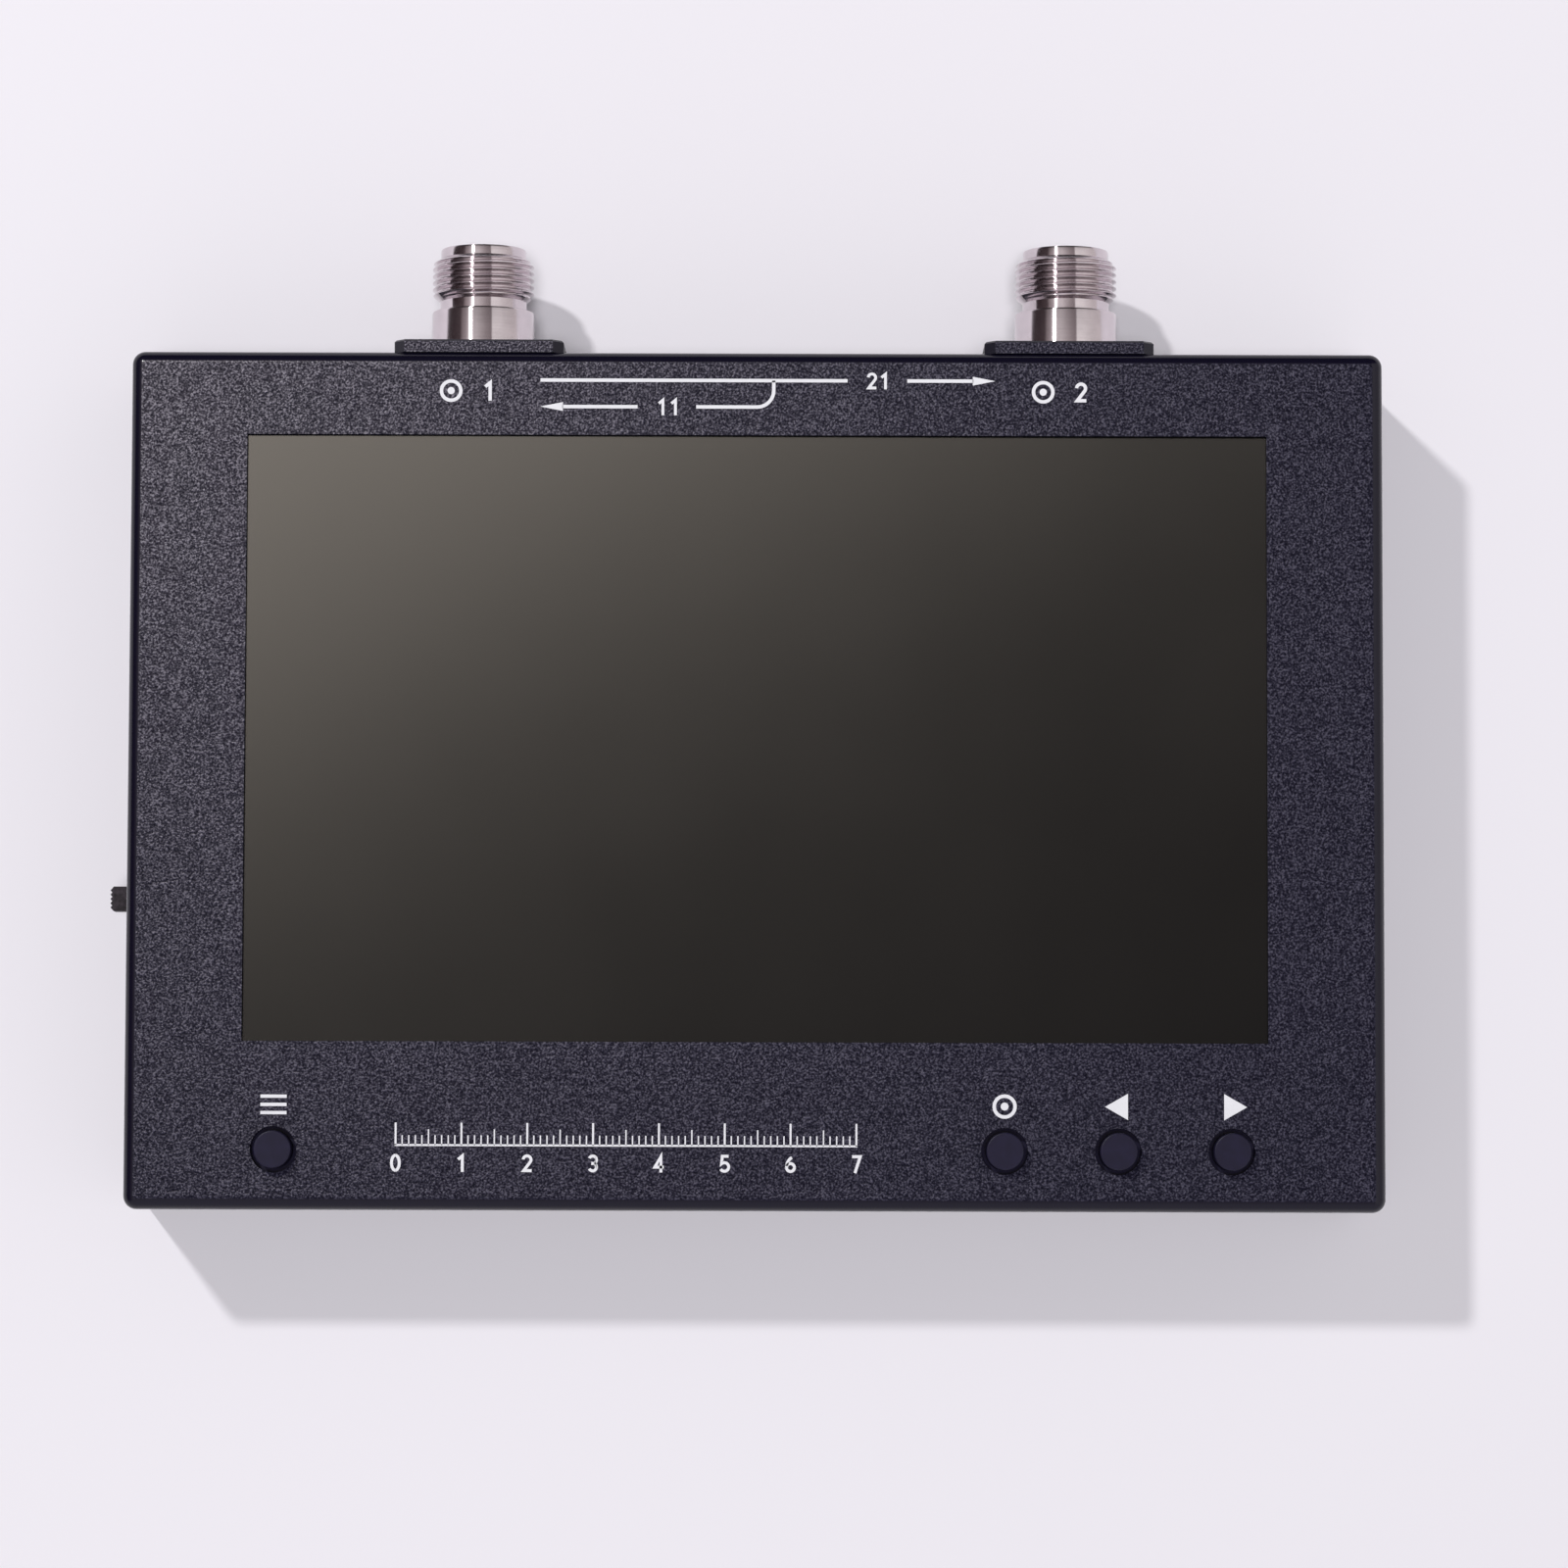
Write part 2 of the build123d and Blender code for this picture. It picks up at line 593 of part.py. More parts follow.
def key_switch(x):
    """Push switch with a well for the plunger."""
    body = plate(SWITCH_W, SWITCH_W, KEY_BOARD_Z, SWITCH_Z, x, KEY_Y)
    floor = SWITCH_Z - PLUNGER_SUNK - KEY_TRAVEL - PLUNGER_GAP
    return body - post(x, KEY_Y, PLUNGER_R + PLUNGER_GAP, floor, SWITCH_Z)


def key_board(name):
    left, right = KEY_BOARDS[name]
    board = block(
        left, right,
        KEY_BOARD_GAP - INSIDE_Y, KEY_Y + KEY_BOARD_MARGIN,
        KEY_BOARD_BACK_Z, KEY_BOARD_Z,
    )
    for x, y in KEY_SCREWS:
        board -= post(x, y, M2_R + HOLE_GAP, KEY_BOARD_BACK_Z, KEY_BOARD_Z)
    return board


def key_board_screws():
    length = KEY_BOARD_T + INNER_SCREW_LENGTH - PLUNGER_GAP
    return group(
        pan_head(x, y, KEY_BOARD_BACK_Z, M2_PAN_R, M2_PAN_T, M2_R, length) for x, y in KEY_SCREWS
    )


def key_board_headers():
    """Pin headers that stand between the main board and the key boards."""
    y = KEY_Y + HEADER_ABOVE
    places = (KEY_X["fn"], KEY_X["left"])
    return group(plate(HEADER_W, HEADER_H, BOARD_Z, KEY_BOARD_BACK_Z, x, y) for x in places)


# ------------------------------------------------------------------ power switch and charging socket
def slide_switch_body():
    """Body on the board's edge, with a slot that the knob's stem runs in."""
    middle = SLIDE_Y + SLIDE_TRAVEL / 2
    body = block(
        KNOB_BACK_X, KNOB_BACK_X + SLIDE_BODY_W,
        middle - SLIDE_BODY_L / 2, middle + SLIDE_BODY_L / 2,
        BOARD_Z, BOARD_Z + SLIDE_BODY_T,
    )
    slot = STEM_L / 2 + SLIDE_GAP / 2
    return body - block(
        KNOB_BACK_X, KNOB_BACK_X + STEM_DEEP + SLIDE_GAP,
        SLIDE_Y - slot, SLIDE_Y + SLIDE_TRAVEL + slot,
        SLIDE_Z - STEM_H / 2 - SLIDE_GAP / 2, SLIDE_Z + STEM_H / 2 + SLIDE_GAP / 2,
    )


def slide_switch_knob():
    """Ribbed knob outside the wall, with its stem."""
    front = -SIDE_X - KNOB_STANDS
    knob = block(
        front, KNOB_BACK_X - SLIDE_GAP,
        SLIDE_Y - KNOB_L / 2, SLIDE_Y + KNOB_L / 2,
        SLIDE_Z - KNOB_H / 2, SLIDE_Z + KNOB_H / 2,
    )
    knob = chamfer(knob.faces().sort_by(Axis.X)[0].edges(), KNOB_CHAMFER)
    pitch = (KNOB_L - 2 * KNOB_CHAMFER) / KNOB_GROOVES
    for i in range(KNOB_GROOVES):
        y = SLIDE_Y + (i - (KNOB_GROOVES - 1) / 2) * pitch
        groove = Rot(0, 0, 45) * Box(KNOB_GROOVE, KNOB_GROOVE, KNOB_H)
        knob -= Pos(front, y, SLIDE_Z) * groove
    return knob + block(
        KNOB_BACK_X - SLIDE_GAP, KNOB_BACK_X + STEM_DEEP,
        SLIDE_Y - STEM_L / 2, SLIDE_Y + STEM_L / 2,
        SLIDE_Z - STEM_H / 2, SLIDE_Z + STEM_H / 2,
    )


def usb_outline(x, length, grow):
    """The socket's rounded outline, from x inwards."""
    slot = SlotOverall(USB_W + 2 * grow, USB_T + 2 * grow)
    return Pos(x, USB_Y, USB_Z) * extrude(Plane.YZ * slot, length)


def usb_c_shell():
    return usb_outline(USB_FRONT_X, USB_L, 0) - usb_outline(USB_FRONT_X, USB_L, -USB_WALL)


def usb_c_tongue():
    """Plastic back of the socket, with the tongue that carries the contacts."""
    back = USB_FRONT_X + USB_L - USB_BACK
    tongue = block(
        back - TONGUE_L, back,
        USB_Y - TONGUE_W / 2, USB_Y + TONGUE_W / 2,
        USB_Z - TONGUE_T / 2, USB_Z + TONGUE_T / 2,
    )
    return usb_outline(back, USB_BACK, -USB_WALL) + tongue


# ------------------------------------------------------------------ ports
def port_screw_places(x):
    return [(x + sx * PORT_SCREW, PORT_Z + sz * PORT_SCREW) for sx in (-1, 1) for sz in (-1, 1)]


def port_plate(x):
    """Square plate between the connector and the wall."""
    half = PORT_PLATE / 2
    square = block(x - half, x + half, PORT_SIDE_Y, PLATE_Y, PORT_Z - half, PORT_Z + half)
    square = chamfer(square.edges().filter_by(Axis.Y), PLATE_CHAMFER)
    square = chamfer(square.faces().sort_by(Axis.Y)[-1].edges(), PLATE_EDGE)
    square -= bar(x, PORT_Z, PORT_BODY_R + PORT_HOLE_GAP, PORT_SIDE_Y, PLATE_Y)
    for sx, sz in port_screw_places(x):
        square -= bar(sx, sz, M25_R + HOLE_GAP, PORT_SIDE_Y, PLATE_Y)
        square -= Pos(sx, PLATE_Y, sz) * Rot(-90, 0, 0) * countersunk(
            M25_HEAD_R, M25_R, PORT_PLATE_T, grow=TAP_GAP, drive=False
        )
    return square


def port_screws(x):
    screw = Rot(-90, 0, 0) * countersunk(M25_HEAD_R, M25_R, M25_LENGTH)
    return group(Pos(sx, PLATE_Y, sz) * screw for sx, sz in port_screw_places(x))


def thread_outline():
    """Crests and roots of the thread, as (radius, y) points."""
    start = PORT_SIDE_Y + THREAD_START
    flank = (THREAD_PITCH - CREST_W - ROOT_W) / 2
    points = [(UNDERCUT_R, start - THREAD_LEAD), (THREAD_ROOT_R, start - THREAD_LEAD)]
    for i in range(THREAD_CRESTS):
        y = start + i * THREAD_PITCH
        points += [(THREAD_R, y), (THREAD_R, y + CREST_W)]
        if i < THREAD_CRESTS - 1:
            root = y + CREST_W + flank
            points += [(THREAD_ROOT_R, root), (THREAD_ROOT_R, root + ROOT_W)]
    end = points[-1][1]
    return points + [(THREAD_ROOT_R, end + THREAD_LEAD), (RING_R, end + THREAD_LEAD)]


def port_shell(x):
    """Body, thread and front ring in one turned piece, with a square flange behind the wall."""
    body_end = PORT_SIDE_Y + BODY_END
    outline = [
        (0, FLANGE_BACK_Y), (PORT_BODY_R, FLANGE_BACK_Y),
        (PORT_BODY_R, body_end - BODY_CHAMFER), (PORT_BODY_R - BODY_CHAMFER, body_end),
        (UNDERCUT_R, body_end),
        *thread_outline(),
        (RING_R, TIP_Y - MOUTH_CHAMFER), (RING_R - MOUTH_CHAMFER, TIP_Y), (0, TIP_Y),
    ]
    shell = turned(x, PORT_Z, outline)
    half = PORT_FLANGE / 2
    shell += block(x - half, x + half, FLANGE_BACK_Y, INSIDE_Y, PORT_Z - half, PORT_Z + half)
    seat = FLANGE_BACK_Y + INSULATOR_SEAT
    shell -= turned(x, PORT_Z, [
        (0, FLANGE_BACK_Y), (NECK_R, FLANGE_BACK_Y), (NECK_R, seat),
        (INSULATOR_R, seat), (INSULATOR_R, MOUTH_FLOOR_Y),
        (MOUTH_R, MOUTH_FLOOR_Y), (MOUTH_R, TIP_Y - MOUTH_CHAMFER),
        (MOUTH_R + MOUTH_CHAMFER, TIP_Y), (0, TIP_Y),
    ])
    for sx, sz in port_screw_places(x):
        shell -= bar(sx, sz, M25_R + TAP_GAP, FLANGE_BACK_Y, INSIDE_Y)
    return shell


def port_insulator(x):
    seat = FLANGE_BACK_Y + INSULATOR_SEAT
    back = FLANGE_BACK_Y - NECK_OUT
    step = MOUTH_FLOOR_Y - CONTACT_BURIED
    neck_r, outer_r = NECK_R - PRESS_GAP, INSULATOR_R - PRESS_GAP
    pin_r, contact_r = PIN_R + PRESS_GAP, CONTACT_R + PRESS_GAP
    return turned(x, PORT_Z, [
        (pin_r, back), (neck_r, back), (neck_r, seat),
        (outer_r, seat), (outer_r, MOUTH_FLOOR_Y),
        (contact_r, MOUTH_FLOOR_Y), (contact_r, step), (pin_r, step),
    ])


def port_contact(x):
    """Slotted socket contact, with the pin that lies on the board."""
    step = MOUTH_FLOOR_Y - CONTACT_BURIED
    contact = turned(x, PORT_Z, [
        (0, BOARD_TOP_Y - PIN_ON_BOARD), (PIN_R, BOARD_TOP_Y - PIN_ON_BOARD), (PIN_R, step),
        (CONTACT_R, step), (CONTACT_R, CONTACT_TIP_Y), (0, CONTACT_TIP_Y),
    ])
    contact -= bar(x, PORT_Z, CONTACT_BORE_R, CONTACT_TIP_Y - CONTACT_BORE, CONTACT_TIP_Y)
    half = CONTACT_SLOT / 2
    slot_y = CONTACT_TIP_Y - CONTACT_SLOT_L
    reach = CONTACT_R
    contact -= block(x - reach, x + reach, slot_y, CONTACT_TIP_Y, PORT_Z - half, PORT_Z + half)
    contact -= block(x - half, x + half, slot_y, CONTACT_TIP_Y, PORT_Z - reach, PORT_Z + reach)
    return contact


# ------------------------------------------------------------------ every node, by name
def all_nodes():
    nodes = {
        "front_housing": front_housing(),
        "back_cover": back_cover(),
        "cover_screws": cover_screws(),
        "rubber_feet": rubber_feet(),
        "window_gasket": window_gasket(),
        "touch_glass": touch_glass(),
        "lcd_panel": lcd_panel(),
        "light_guide": light_guide(),
        "backlight_tray": backlight_tray(),
        "screen_clamps": screen_clamps(),
        "clamp_screws": clamp_screws(),
        "main_board": main_board(),
        "board_screws": board_screws(),
        "battery_pack": battery_pack(),
        "battery_tape": battery_tape(),
        "battery_plug": battery_plug(),
        "battery_leads": battery_leads(),
        "key_board_screws": key_board_screws(),
        "key_board_headers": key_board_headers(),
        "slide_switch_body": slide_switch_body(),
        "slide_switch_knob": slide_switch_knob(),
        "usb_c_shell": usb_c_shell(),
        "usb_c_tongue": usb_c_tongue(),
    }
    for name in RIBBONS:
        nodes[f"{name}_ribbon"] = ribbon(name)
        nodes[f"{name}_connector"] = ribbon_connector(name)
    for name in CHIPS:
        nodes[name] = chip(name)
    for name in KEY_BOARDS:
        nodes[f"{name}_key_board"] = key_board(name)
    for name, x in KEY_X.items():
        nodes[f"{name}_cap"] = key_cap(x)
        nodes[f"{name}_plunger"] = key_plunger(x)
        nodes[f"{name}_switch"] = key_switch(x)
    for number, x in PORT_X.items():
        nodes[f"rf_shield_{number}"] = rf_shield(x)
        nodes[f"port_{number}_plate"] = port_plate(x)
        nodes[f"port_{number}_screws"] = port_screws(x)
        nodes[f"port_{number}_shell"] = port_shell(x)
        nodes[f"port_{number}_insulator"] = port_insulator(x)
        nodes[f"port_{number}_contact"] = port_contact(x)
    return nodes


os.makedirs("parts", exist_ok=True)
for node, shape in all_nodes().items():
    export_step(shape, f"parts/{node}.step")
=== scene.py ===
import json
import math

import bmesh
import bpy
from mathutils import Matrix, Vector


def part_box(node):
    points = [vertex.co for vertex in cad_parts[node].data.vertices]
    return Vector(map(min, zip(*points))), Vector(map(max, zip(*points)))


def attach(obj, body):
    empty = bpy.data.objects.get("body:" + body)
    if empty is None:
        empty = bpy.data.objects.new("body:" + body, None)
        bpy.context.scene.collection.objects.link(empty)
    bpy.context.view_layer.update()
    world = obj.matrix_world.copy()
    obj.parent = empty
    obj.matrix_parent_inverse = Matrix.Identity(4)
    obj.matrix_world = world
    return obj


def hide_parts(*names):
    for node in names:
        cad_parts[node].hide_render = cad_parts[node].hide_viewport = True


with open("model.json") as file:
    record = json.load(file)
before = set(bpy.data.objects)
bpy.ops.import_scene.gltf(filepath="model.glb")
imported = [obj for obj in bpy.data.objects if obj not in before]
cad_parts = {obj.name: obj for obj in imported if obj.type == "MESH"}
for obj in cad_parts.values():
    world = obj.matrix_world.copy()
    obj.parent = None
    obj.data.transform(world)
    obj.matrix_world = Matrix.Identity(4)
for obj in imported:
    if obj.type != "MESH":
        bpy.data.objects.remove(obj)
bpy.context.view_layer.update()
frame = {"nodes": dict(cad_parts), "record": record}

# Looks of the antenna analyzer. Lengths are written in millimetres and turned into metres with MM.
# The frame is the CAD part's own: +X right of the screen, +Y towards the ports, +Z out of the screen.
MM = 0.001
CASE_BODY = "case"


# ------------------------------------------------------------------ sizes read from the frame
def box_mm(node):
    """Lowest and highest corner of a CAD node, in millimetres."""
    low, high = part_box(node)
    return low / MM, high / MM


def middle_mm(node):
    """Middle of a CAD node's box, in millimetres."""
    low, high = box_mm(node)
    return (low + high) / 2


CASE_HIGH = box_mm("front_housing")[1]
FACE_Z = CASE_HIGH.z
PORT_SIDE_Y = CASE_HIGH.y
FLOOR_Z = box_mm("rubber_feet")[0].z
KEYS = {name: middle_mm(f"{name}_cap") for name in ("fn", "ctrl", "left", "right")}
PORTS = {number: middle_mm(f"port_{number}_shell") for number in (1, 2)}


# ------------------------------------------------------------------ camera
IMAGE_SIDE = 1600               # pixels of the square image
FOCAL_PIXELS = 5848
SENSOR = 36.0
CAMERA_PLACE = Vector((6.35, -65.75, 900.0))
CAMERA_TILT = (-0.0744, -0.0023, -0.0029)    # radians about X, Y and Z
CAMERA_NEAR = 0.01              # these two are in metres
CAMERA_FAR = 100.0


def make_camera():
    """Camera over the face, from a little below its middle."""
    data = bpy.data.cameras.new("camera")
    data.sensor_width = SENSOR
    data.lens = FOCAL_PIXELS / IMAGE_SIDE * SENSOR
    data.clip_start = CAMERA_NEAR
    data.clip_end = CAMERA_FAR
    camera = bpy.data.objects.new("camera", data)
    bpy.context.collection.objects.link(camera)
    turn_x, turn_y, turn_z = (Matrix.Rotation(tilt, 3, axis) for tilt, axis in zip(CAMERA_TILT, "XYZ"))
    turn = turn_z @ turn_y @ turn_x
    camera.matrix_world = Matrix.Translation(CAMERA_PLACE * MM) @ turn.transposed().to_4x4()
    bpy.context.scene.camera = camera


# ------------------------------------------------------------------ floor and light
FLOOR_SIDE = 12000.0
FLOOR_COLOR = (0.845, 0.815, 0.86)
FLOOR_ROUGH = 0.9
FLOOR_GLOSS = 0.05
PALE = (0.80, 0.77, 0.82)       # far background
# Soft light from all round, from its dim side at the far left to its bright side at the near right
DOME_DIM = (0.006, 0.006, 0.0061)
DOME_BRIGHT = (0.57, 0.57, 0.587)
DOME_REACH = 1.2                # how far the change reaches, as X less Y of a direction
# The main lamp throws the shadow
MAIN_PLACE = Vector((-961.0, 1075.0, 1800.0))
MAIN_RADIUS = 66.0              # sets the soft edge of the shadow
MAIN_WATTS = 88.0
# The glint is a near, weak lamp that lights the powder coat alone and gives it its sheen
GLINT_PLACE = Vector((-178.0, 190.0, 426.0))
GLINT_RADIUS = 20.0
GLINT_WATTS = 6.2
GLINT_COLOR = (1.0, 0.904, 0.96)
# The fill is a broad soft light from above
FILL_STRENGTH = 1.35
FILL_COLOR = (0.985, 0.98, 1.0)
FILL_FROM = Vector((0.0, -0.1, 1.0))
FILL_ANGLE = 12.0               # degrees, how wide it is
# What glossy surfaces mirror: (sine of the angle off the vertical, towards +X) and grey level
MIRRORED = [
    (-0.98, 0.04), (-0.79, 0.09), (-0.73, 0.29), (-0.60, 0.46), (-0.52, 0.70), (-0.22, 0.74),
    (-0.02, 0.55), (0.17, 0.40), (0.37, 0.30), (0.41, 1.0), (0.70, 0.92), (1.00, 0.68),
]
WALL_GREEN = (0.97, 1.1)        # factor and power of the grey level
WALL_BLUE = (0.96, 1.07)
FAR_END = 0.01                  # what is left of the walls towards the far end of the room
NEAR_END = (0.72, 0.69, 0.77)   # colour of the room's near end
# Where those ends and the background take over, as parts of a direction along +Y and along +Z
FAR_FADE = (0.48, 0.62)
NEAR_FADE = (-0.8, -0.4)
HORIZON_FADE = (0.01, 0.05)
# The glow is a far, large soft box that lights the screen's glass alone
GLOW_DISTANCE = 6000.0
GLOW_FROM = 8.1                 # where it begins and ends, in degrees off the vertical
GLOW_TO = 20.0
GLOW_HALF = 13.0                # half its length, in degrees
GLOW_SHIFT = 3.0                # of its middle, in degrees along it
GLOW_RADIANCE = 18.5
GLOW_COLOR = (1.0, 0.9, 0.79)
GLOW_ACROSS = Vector((-0.49, 0.87, 0.0)).normalized()
GLOW_ALONG = Vector((-0.87, -0.49, 0.0)).normalized()
COAT_NODES = ("front_housing", "port_1_plate", "port_2_plate")
WHITE = (1.0, 1.0, 1.0)
BLACK = (0.0, 0.0, 0.0)


def make_floor():
    """Pale paper at the height of the feet."""
    half = FLOOR_SIDE / 2
    corners = [(x * half, y * half, FLOOR_Z) for x, y in ((-1, -1), (1, -1), (1, 1), (-1, 1))]
    mesh = bpy.data.meshes.new("floor")
    mesh.from_pydata([Vector(c) * MM for c in corners], [], [(0, 1, 2, 3)])
    floor = bpy.data.objects.new("floor", mesh)
    bpy.context.collection.objects.link(floor)
    paint = Paint("floor_paper", FLOOR_COLOR, FLOOR_ROUGH)
    paint.set("Specular IOR Level", FLOOR_GLOSS)
    mesh.materials.append(paint.material)


def wall_color(grey):
    """A warm grey: the darker, the browner."""
    green, blue = (factor * grey ** power for factor, power in (WALL_GREEN, WALL_BLUE))
    return (grey, green, blue)


def make_world():
    """An even dome for matt surfaces, studio walls for glossy ones, and a pale background."""
    world = bpy.data.worlds.new("studio")
    bpy.context.scene.world = world
    world.use_nodes = True
    graph = Graph(world.node_tree)
    direction = graph.nodes.new("ShaderNodeSeparateXYZ")
    graph.links.new(graph.place.outputs["Generated"], direction.inputs["Vector"])
    x, y, z = (direction.outputs[axis] for axis in "XYZ")
    squares = [graph.math("MULTIPLY", part, part) for part in (x, z)]
    across = graph.math("SQRT", graph.math("ADD", *squares))
    share = graph.range(graph.math("DIVIDE", x, across), -1.0, 1.0, 0.0, 1.0)
    walls = graph.ramp(share, [((sine + 1) / 2, wall_color(grey)) for sine, grey in MIRRORED])
    walls = graph.mix(graph.range(y, *FAR_FADE, 1.0, FAR_END, smooth=True), (*BLACK, 1.0), walls)
    walls = graph.mix(graph.range(y, *NEAR_FADE, 1.0, 0.0, smooth=True), walls, (*NEAR_END, 1.0))
    walls = graph.mix(graph.range(z, *HORIZON_FADE, 0.0, 1.0), (*PALE, 1.0), walls)
    ray = graph.nodes.new("ShaderNodeLightPath")
    lean = graph.range(graph.math("SUBTRACT", x, y), -DOME_REACH, DOME_REACH, 0.0, 1.0)
    dome = graph.mix(lean, (*DOME_DIM, 1.0), (*DOME_BRIGHT, 1.0))
    light = graph.mix(ray.outputs["Is Glossy Ray"], dome, walls)
    light = graph.mix(ray.outputs["Is Camera Ray"], light, (*PALE, 1.0))
    graph.links.new(light, graph.nodes["Background"].inputs["Color"])


def add_lamp(name, kind, strength, color=WHITE):
    """A lamp of one of Blender's kinds."""
    data = bpy.data.lights.new(name, kind)
    data.energy = strength
    data.color = color
    lamp = bpy.data.objects.new(name, data)
    bpy.context.collection.objects.link(lamp)
    return lamp


def only_for(lamp, node_names):
    """Let a lamp show on these nodes alone, as gloss, and not in what they throw on the floor."""
    lamp.visible_diffuse = False
    lamp.data.cycles.max_bounces = 0
    linked = bpy.data.collections.new(f"{lamp.name}_receivers")
    for node in node_names:
        linked.objects.link(frame["nodes"][node])
    lamp.light_linking.receiver_collection = linked


def make_bulb(name, watts, place, radius, color=WHITE):
    """A round lamp that shines to all sides."""
    bulb = add_lamp(name, "POINT", watts, color)
    bulb.location = place * MM
    bulb.data.shadow_soft_size = radius * MM
    return bulb


def make_fill():
    """Soft light from above, kept out of mirrors."""
    fill = add_lamp("fill", "SUN", FILL_STRENGTH, FILL_COLOR)
    fill.rotation_euler = FILL_FROM.to_track_quat("Z", "Y").to_euler()
    fill.data.angle = math.radians(FILL_ANGLE)
    fill.visible_glossy = False


def make_glow():
    """Soft box that only shows as a broad soft reflection in the screen."""
    def reach(degrees):
        return GLOW_DISTANCE * math.tan(math.radians(degrees))

    width = (reach(GLOW_TO) - reach(GLOW_FROM)) * MM
    length = 2 * reach(GLOW_HALF) * MM
    glow = add_lamp("glow", "AREA", GLOW_RADIANCE * math.pi * width * length, GLOW_COLOR)
    glow.data.shape = "RECTANGLE"
    glow.data.size = width
    glow.data.size_y = length
    middle = (reach(GLOW_TO) + reach(GLOW_FROM)) / 2
    place = GLOW_ACROSS * middle - GLOW_ALONG * reach(GLOW_SHIFT) + Vector((0, 0, GLOW_DISTANCE))
    turn = Matrix((GLOW_ACROSS, GLOW_ALONG, Vector((0, 0, 1)))).transposed()
    glow.matrix_world = Matrix.Translation(place * MM) @ turn.to_4x4()
    only_for(glow, ("touch_glass",))


# ------------------------------------------------------------------ materials
class Graph:
    """Helpers for building procedural nodes."""

    def __init__(self, tree):
        self.nodes = tree.nodes
        self.links = tree.links
        self.place = self.nodes.new("ShaderNodeTexCoord")

    def join(self, value, socket):
        """Link an output, or write a plain value, into a socket."""
        if isinstance(value, bpy.types.NodeSocket):
            self.links.new(value, socket)
        else:
            socket.default_value = value

    def noise(self, grain, detail=2.0, stretch=(1, 1, 1)):
        """Noise whose grains are about that many millimetres across."""
        vector = self.nodes.new("ShaderNodeMapping")
        vector.inputs["Scale"].default_value = [s / (grain * MM) for s in stretch]
        self.links.new(self.place.outputs["Object"], vector.inputs["Vector"])
        noise = self.nodes.new("ShaderNodeTexNoise")
        noise.inputs["Scale"].default_value = 1.0
        noise.inputs["Detail"].default_value = detail
        self.links.new(vector.outputs["Vector"], noise.inputs["Vector"])
        return noise.outputs["Fac"]

    def cells(self, grain):
        """Distance from the middles of cells about that many millimetres across."""
        cells = self.nodes.new("ShaderNodeTexVoronoi")
        cells.inputs["Scale"].default_value = 1 / (grain * MM)
        self.links.new(self.place.outputs["Object"], cells.inputs["Vector"])
        return cells.outputs["Distance"]

    def ramp(self, value, stops):
        """A colour ramp over (position, colour) stops."""
        ramp = self.nodes.new("ShaderNodeValToRGB")
        while len(ramp.color_ramp.elements) < len(stops):
            ramp.color_ramp.elements.new(0.5)
        for element, (position, color) in zip(ramp.color_ramp.elements, stops):
            element.position = position
            element.color = (*color, 1.0)
        self.links.new(value, ramp.inputs["Fac"])
        return ramp.outputs["Color"]

    def range(self, value, low, high, to_low, to_high, smooth=False):
        """A value carried over from one range to another, and held at its ends."""
        span = self.nodes.new("ShaderNodeMapRange")
        if smooth:
            span.interpolation_type = "SMOOTHSTEP"
        sockets = ("From Min", "From Max", "To Min", "To Max")
        for socket, number in zip(sockets, (low, high, to_low, to_high)):
            span.inputs[socket].default_value = number
        self.links.new(value, span.inputs["Value"])
        return span.outputs["Result"]

    def math(self, operation, *values):
        step = self.nodes.new("ShaderNodeMath")
        step.operation = operation
        for value, socket in zip(values, step.inputs):
            self.join(value, socket)
        return step.outputs["Value"]

    def mix(self, factor, first, second):
        blend = self.nodes.new("ShaderNodeMix")
        blend.data_type = "RGBA"
        for value, socket in ((factor, "Factor_Float"), (first, "A_Color"), (second, "B_Color")):
            self.join(value, next(i for i in blend.inputs if i.identifier == socket))
        return next(o for o in blend.outputs if o.identifier == "Result_Color")


FLAT_FADE = (0.97, 0.998)       # cosine of the tilt from an edge's curve to a flat face


class Paint(Graph):
    """A material on the Principled shader."""

    def __init__(self, name, color, roughness, metallic=0.0):
        self.material = bpy.data.materials.new(name)
        self.material.use_nodes = True
        super().__init__(self.material.node_tree)
        self.shader = self.nodes["Principled BSDF"]
        self.set("Base Color", (*color, 1.0))
        self.set("Roughness", roughness)
        self.set("Metallic", metallic)

    def set(self, socket, value):
        self.shader.inputs[socket].default_value = value

    def feed(self, socket, output):
        self.links.new(output, self.shader.inputs[socket])

    def bump(self, height, depth, strength=1.0):
        """Bump from a 0-1 height, that many millimetres deep."""
        bump = self.nodes.new("ShaderNodeBump")
        bump.inputs["Distance"].default_value = depth * MM
        self.join(strength, bump.inputs["Strength"])
        self.links.new(height, bump.inputs["Height"])
        self.feed("Normal", bump.outputs["Normal"])

    def flat_share(self):
        """1 on faces that look along an axis, and 0 on rounded edges."""
        normal = self.nodes.new("ShaderNodeSeparateXYZ")
        self.links.new(self.place.outputs["Normal"], normal.inputs["Vector"])
        parts = [self.math("ABSOLUTE", normal.outputs[axis]) for axis in "XYZ"]
        largest = self.math("MAXIMUM", self.math("MAXIMUM", parts[0], parts[1]), parts[2])
        return self.range(largest, *FLAT_FADE, 0.0, 1.0, smooth=True)


def shade(color, factor):
    """A darker or paler shade of a colour."""
    return tuple(min(1.0, c * factor) for c in color)


NOISE_SPAN = (0.3, 0.7)         # holds nearly all values of a noise
MOTTLE_SPAN = (0.35, 0.65)
MOTTLE_GRAINS = 6               # width of a mottle, in grains
GLOSS_SPREAD = 0.15             # of the roughness, either way


def mottled(color, darker, paler, span=MOTTLE_SPAN):
    """Ramp stops from a darker to a paler shade of a colour."""
    return [(span[0], shade(color, darker)), (span[1], shade(color, paler))]


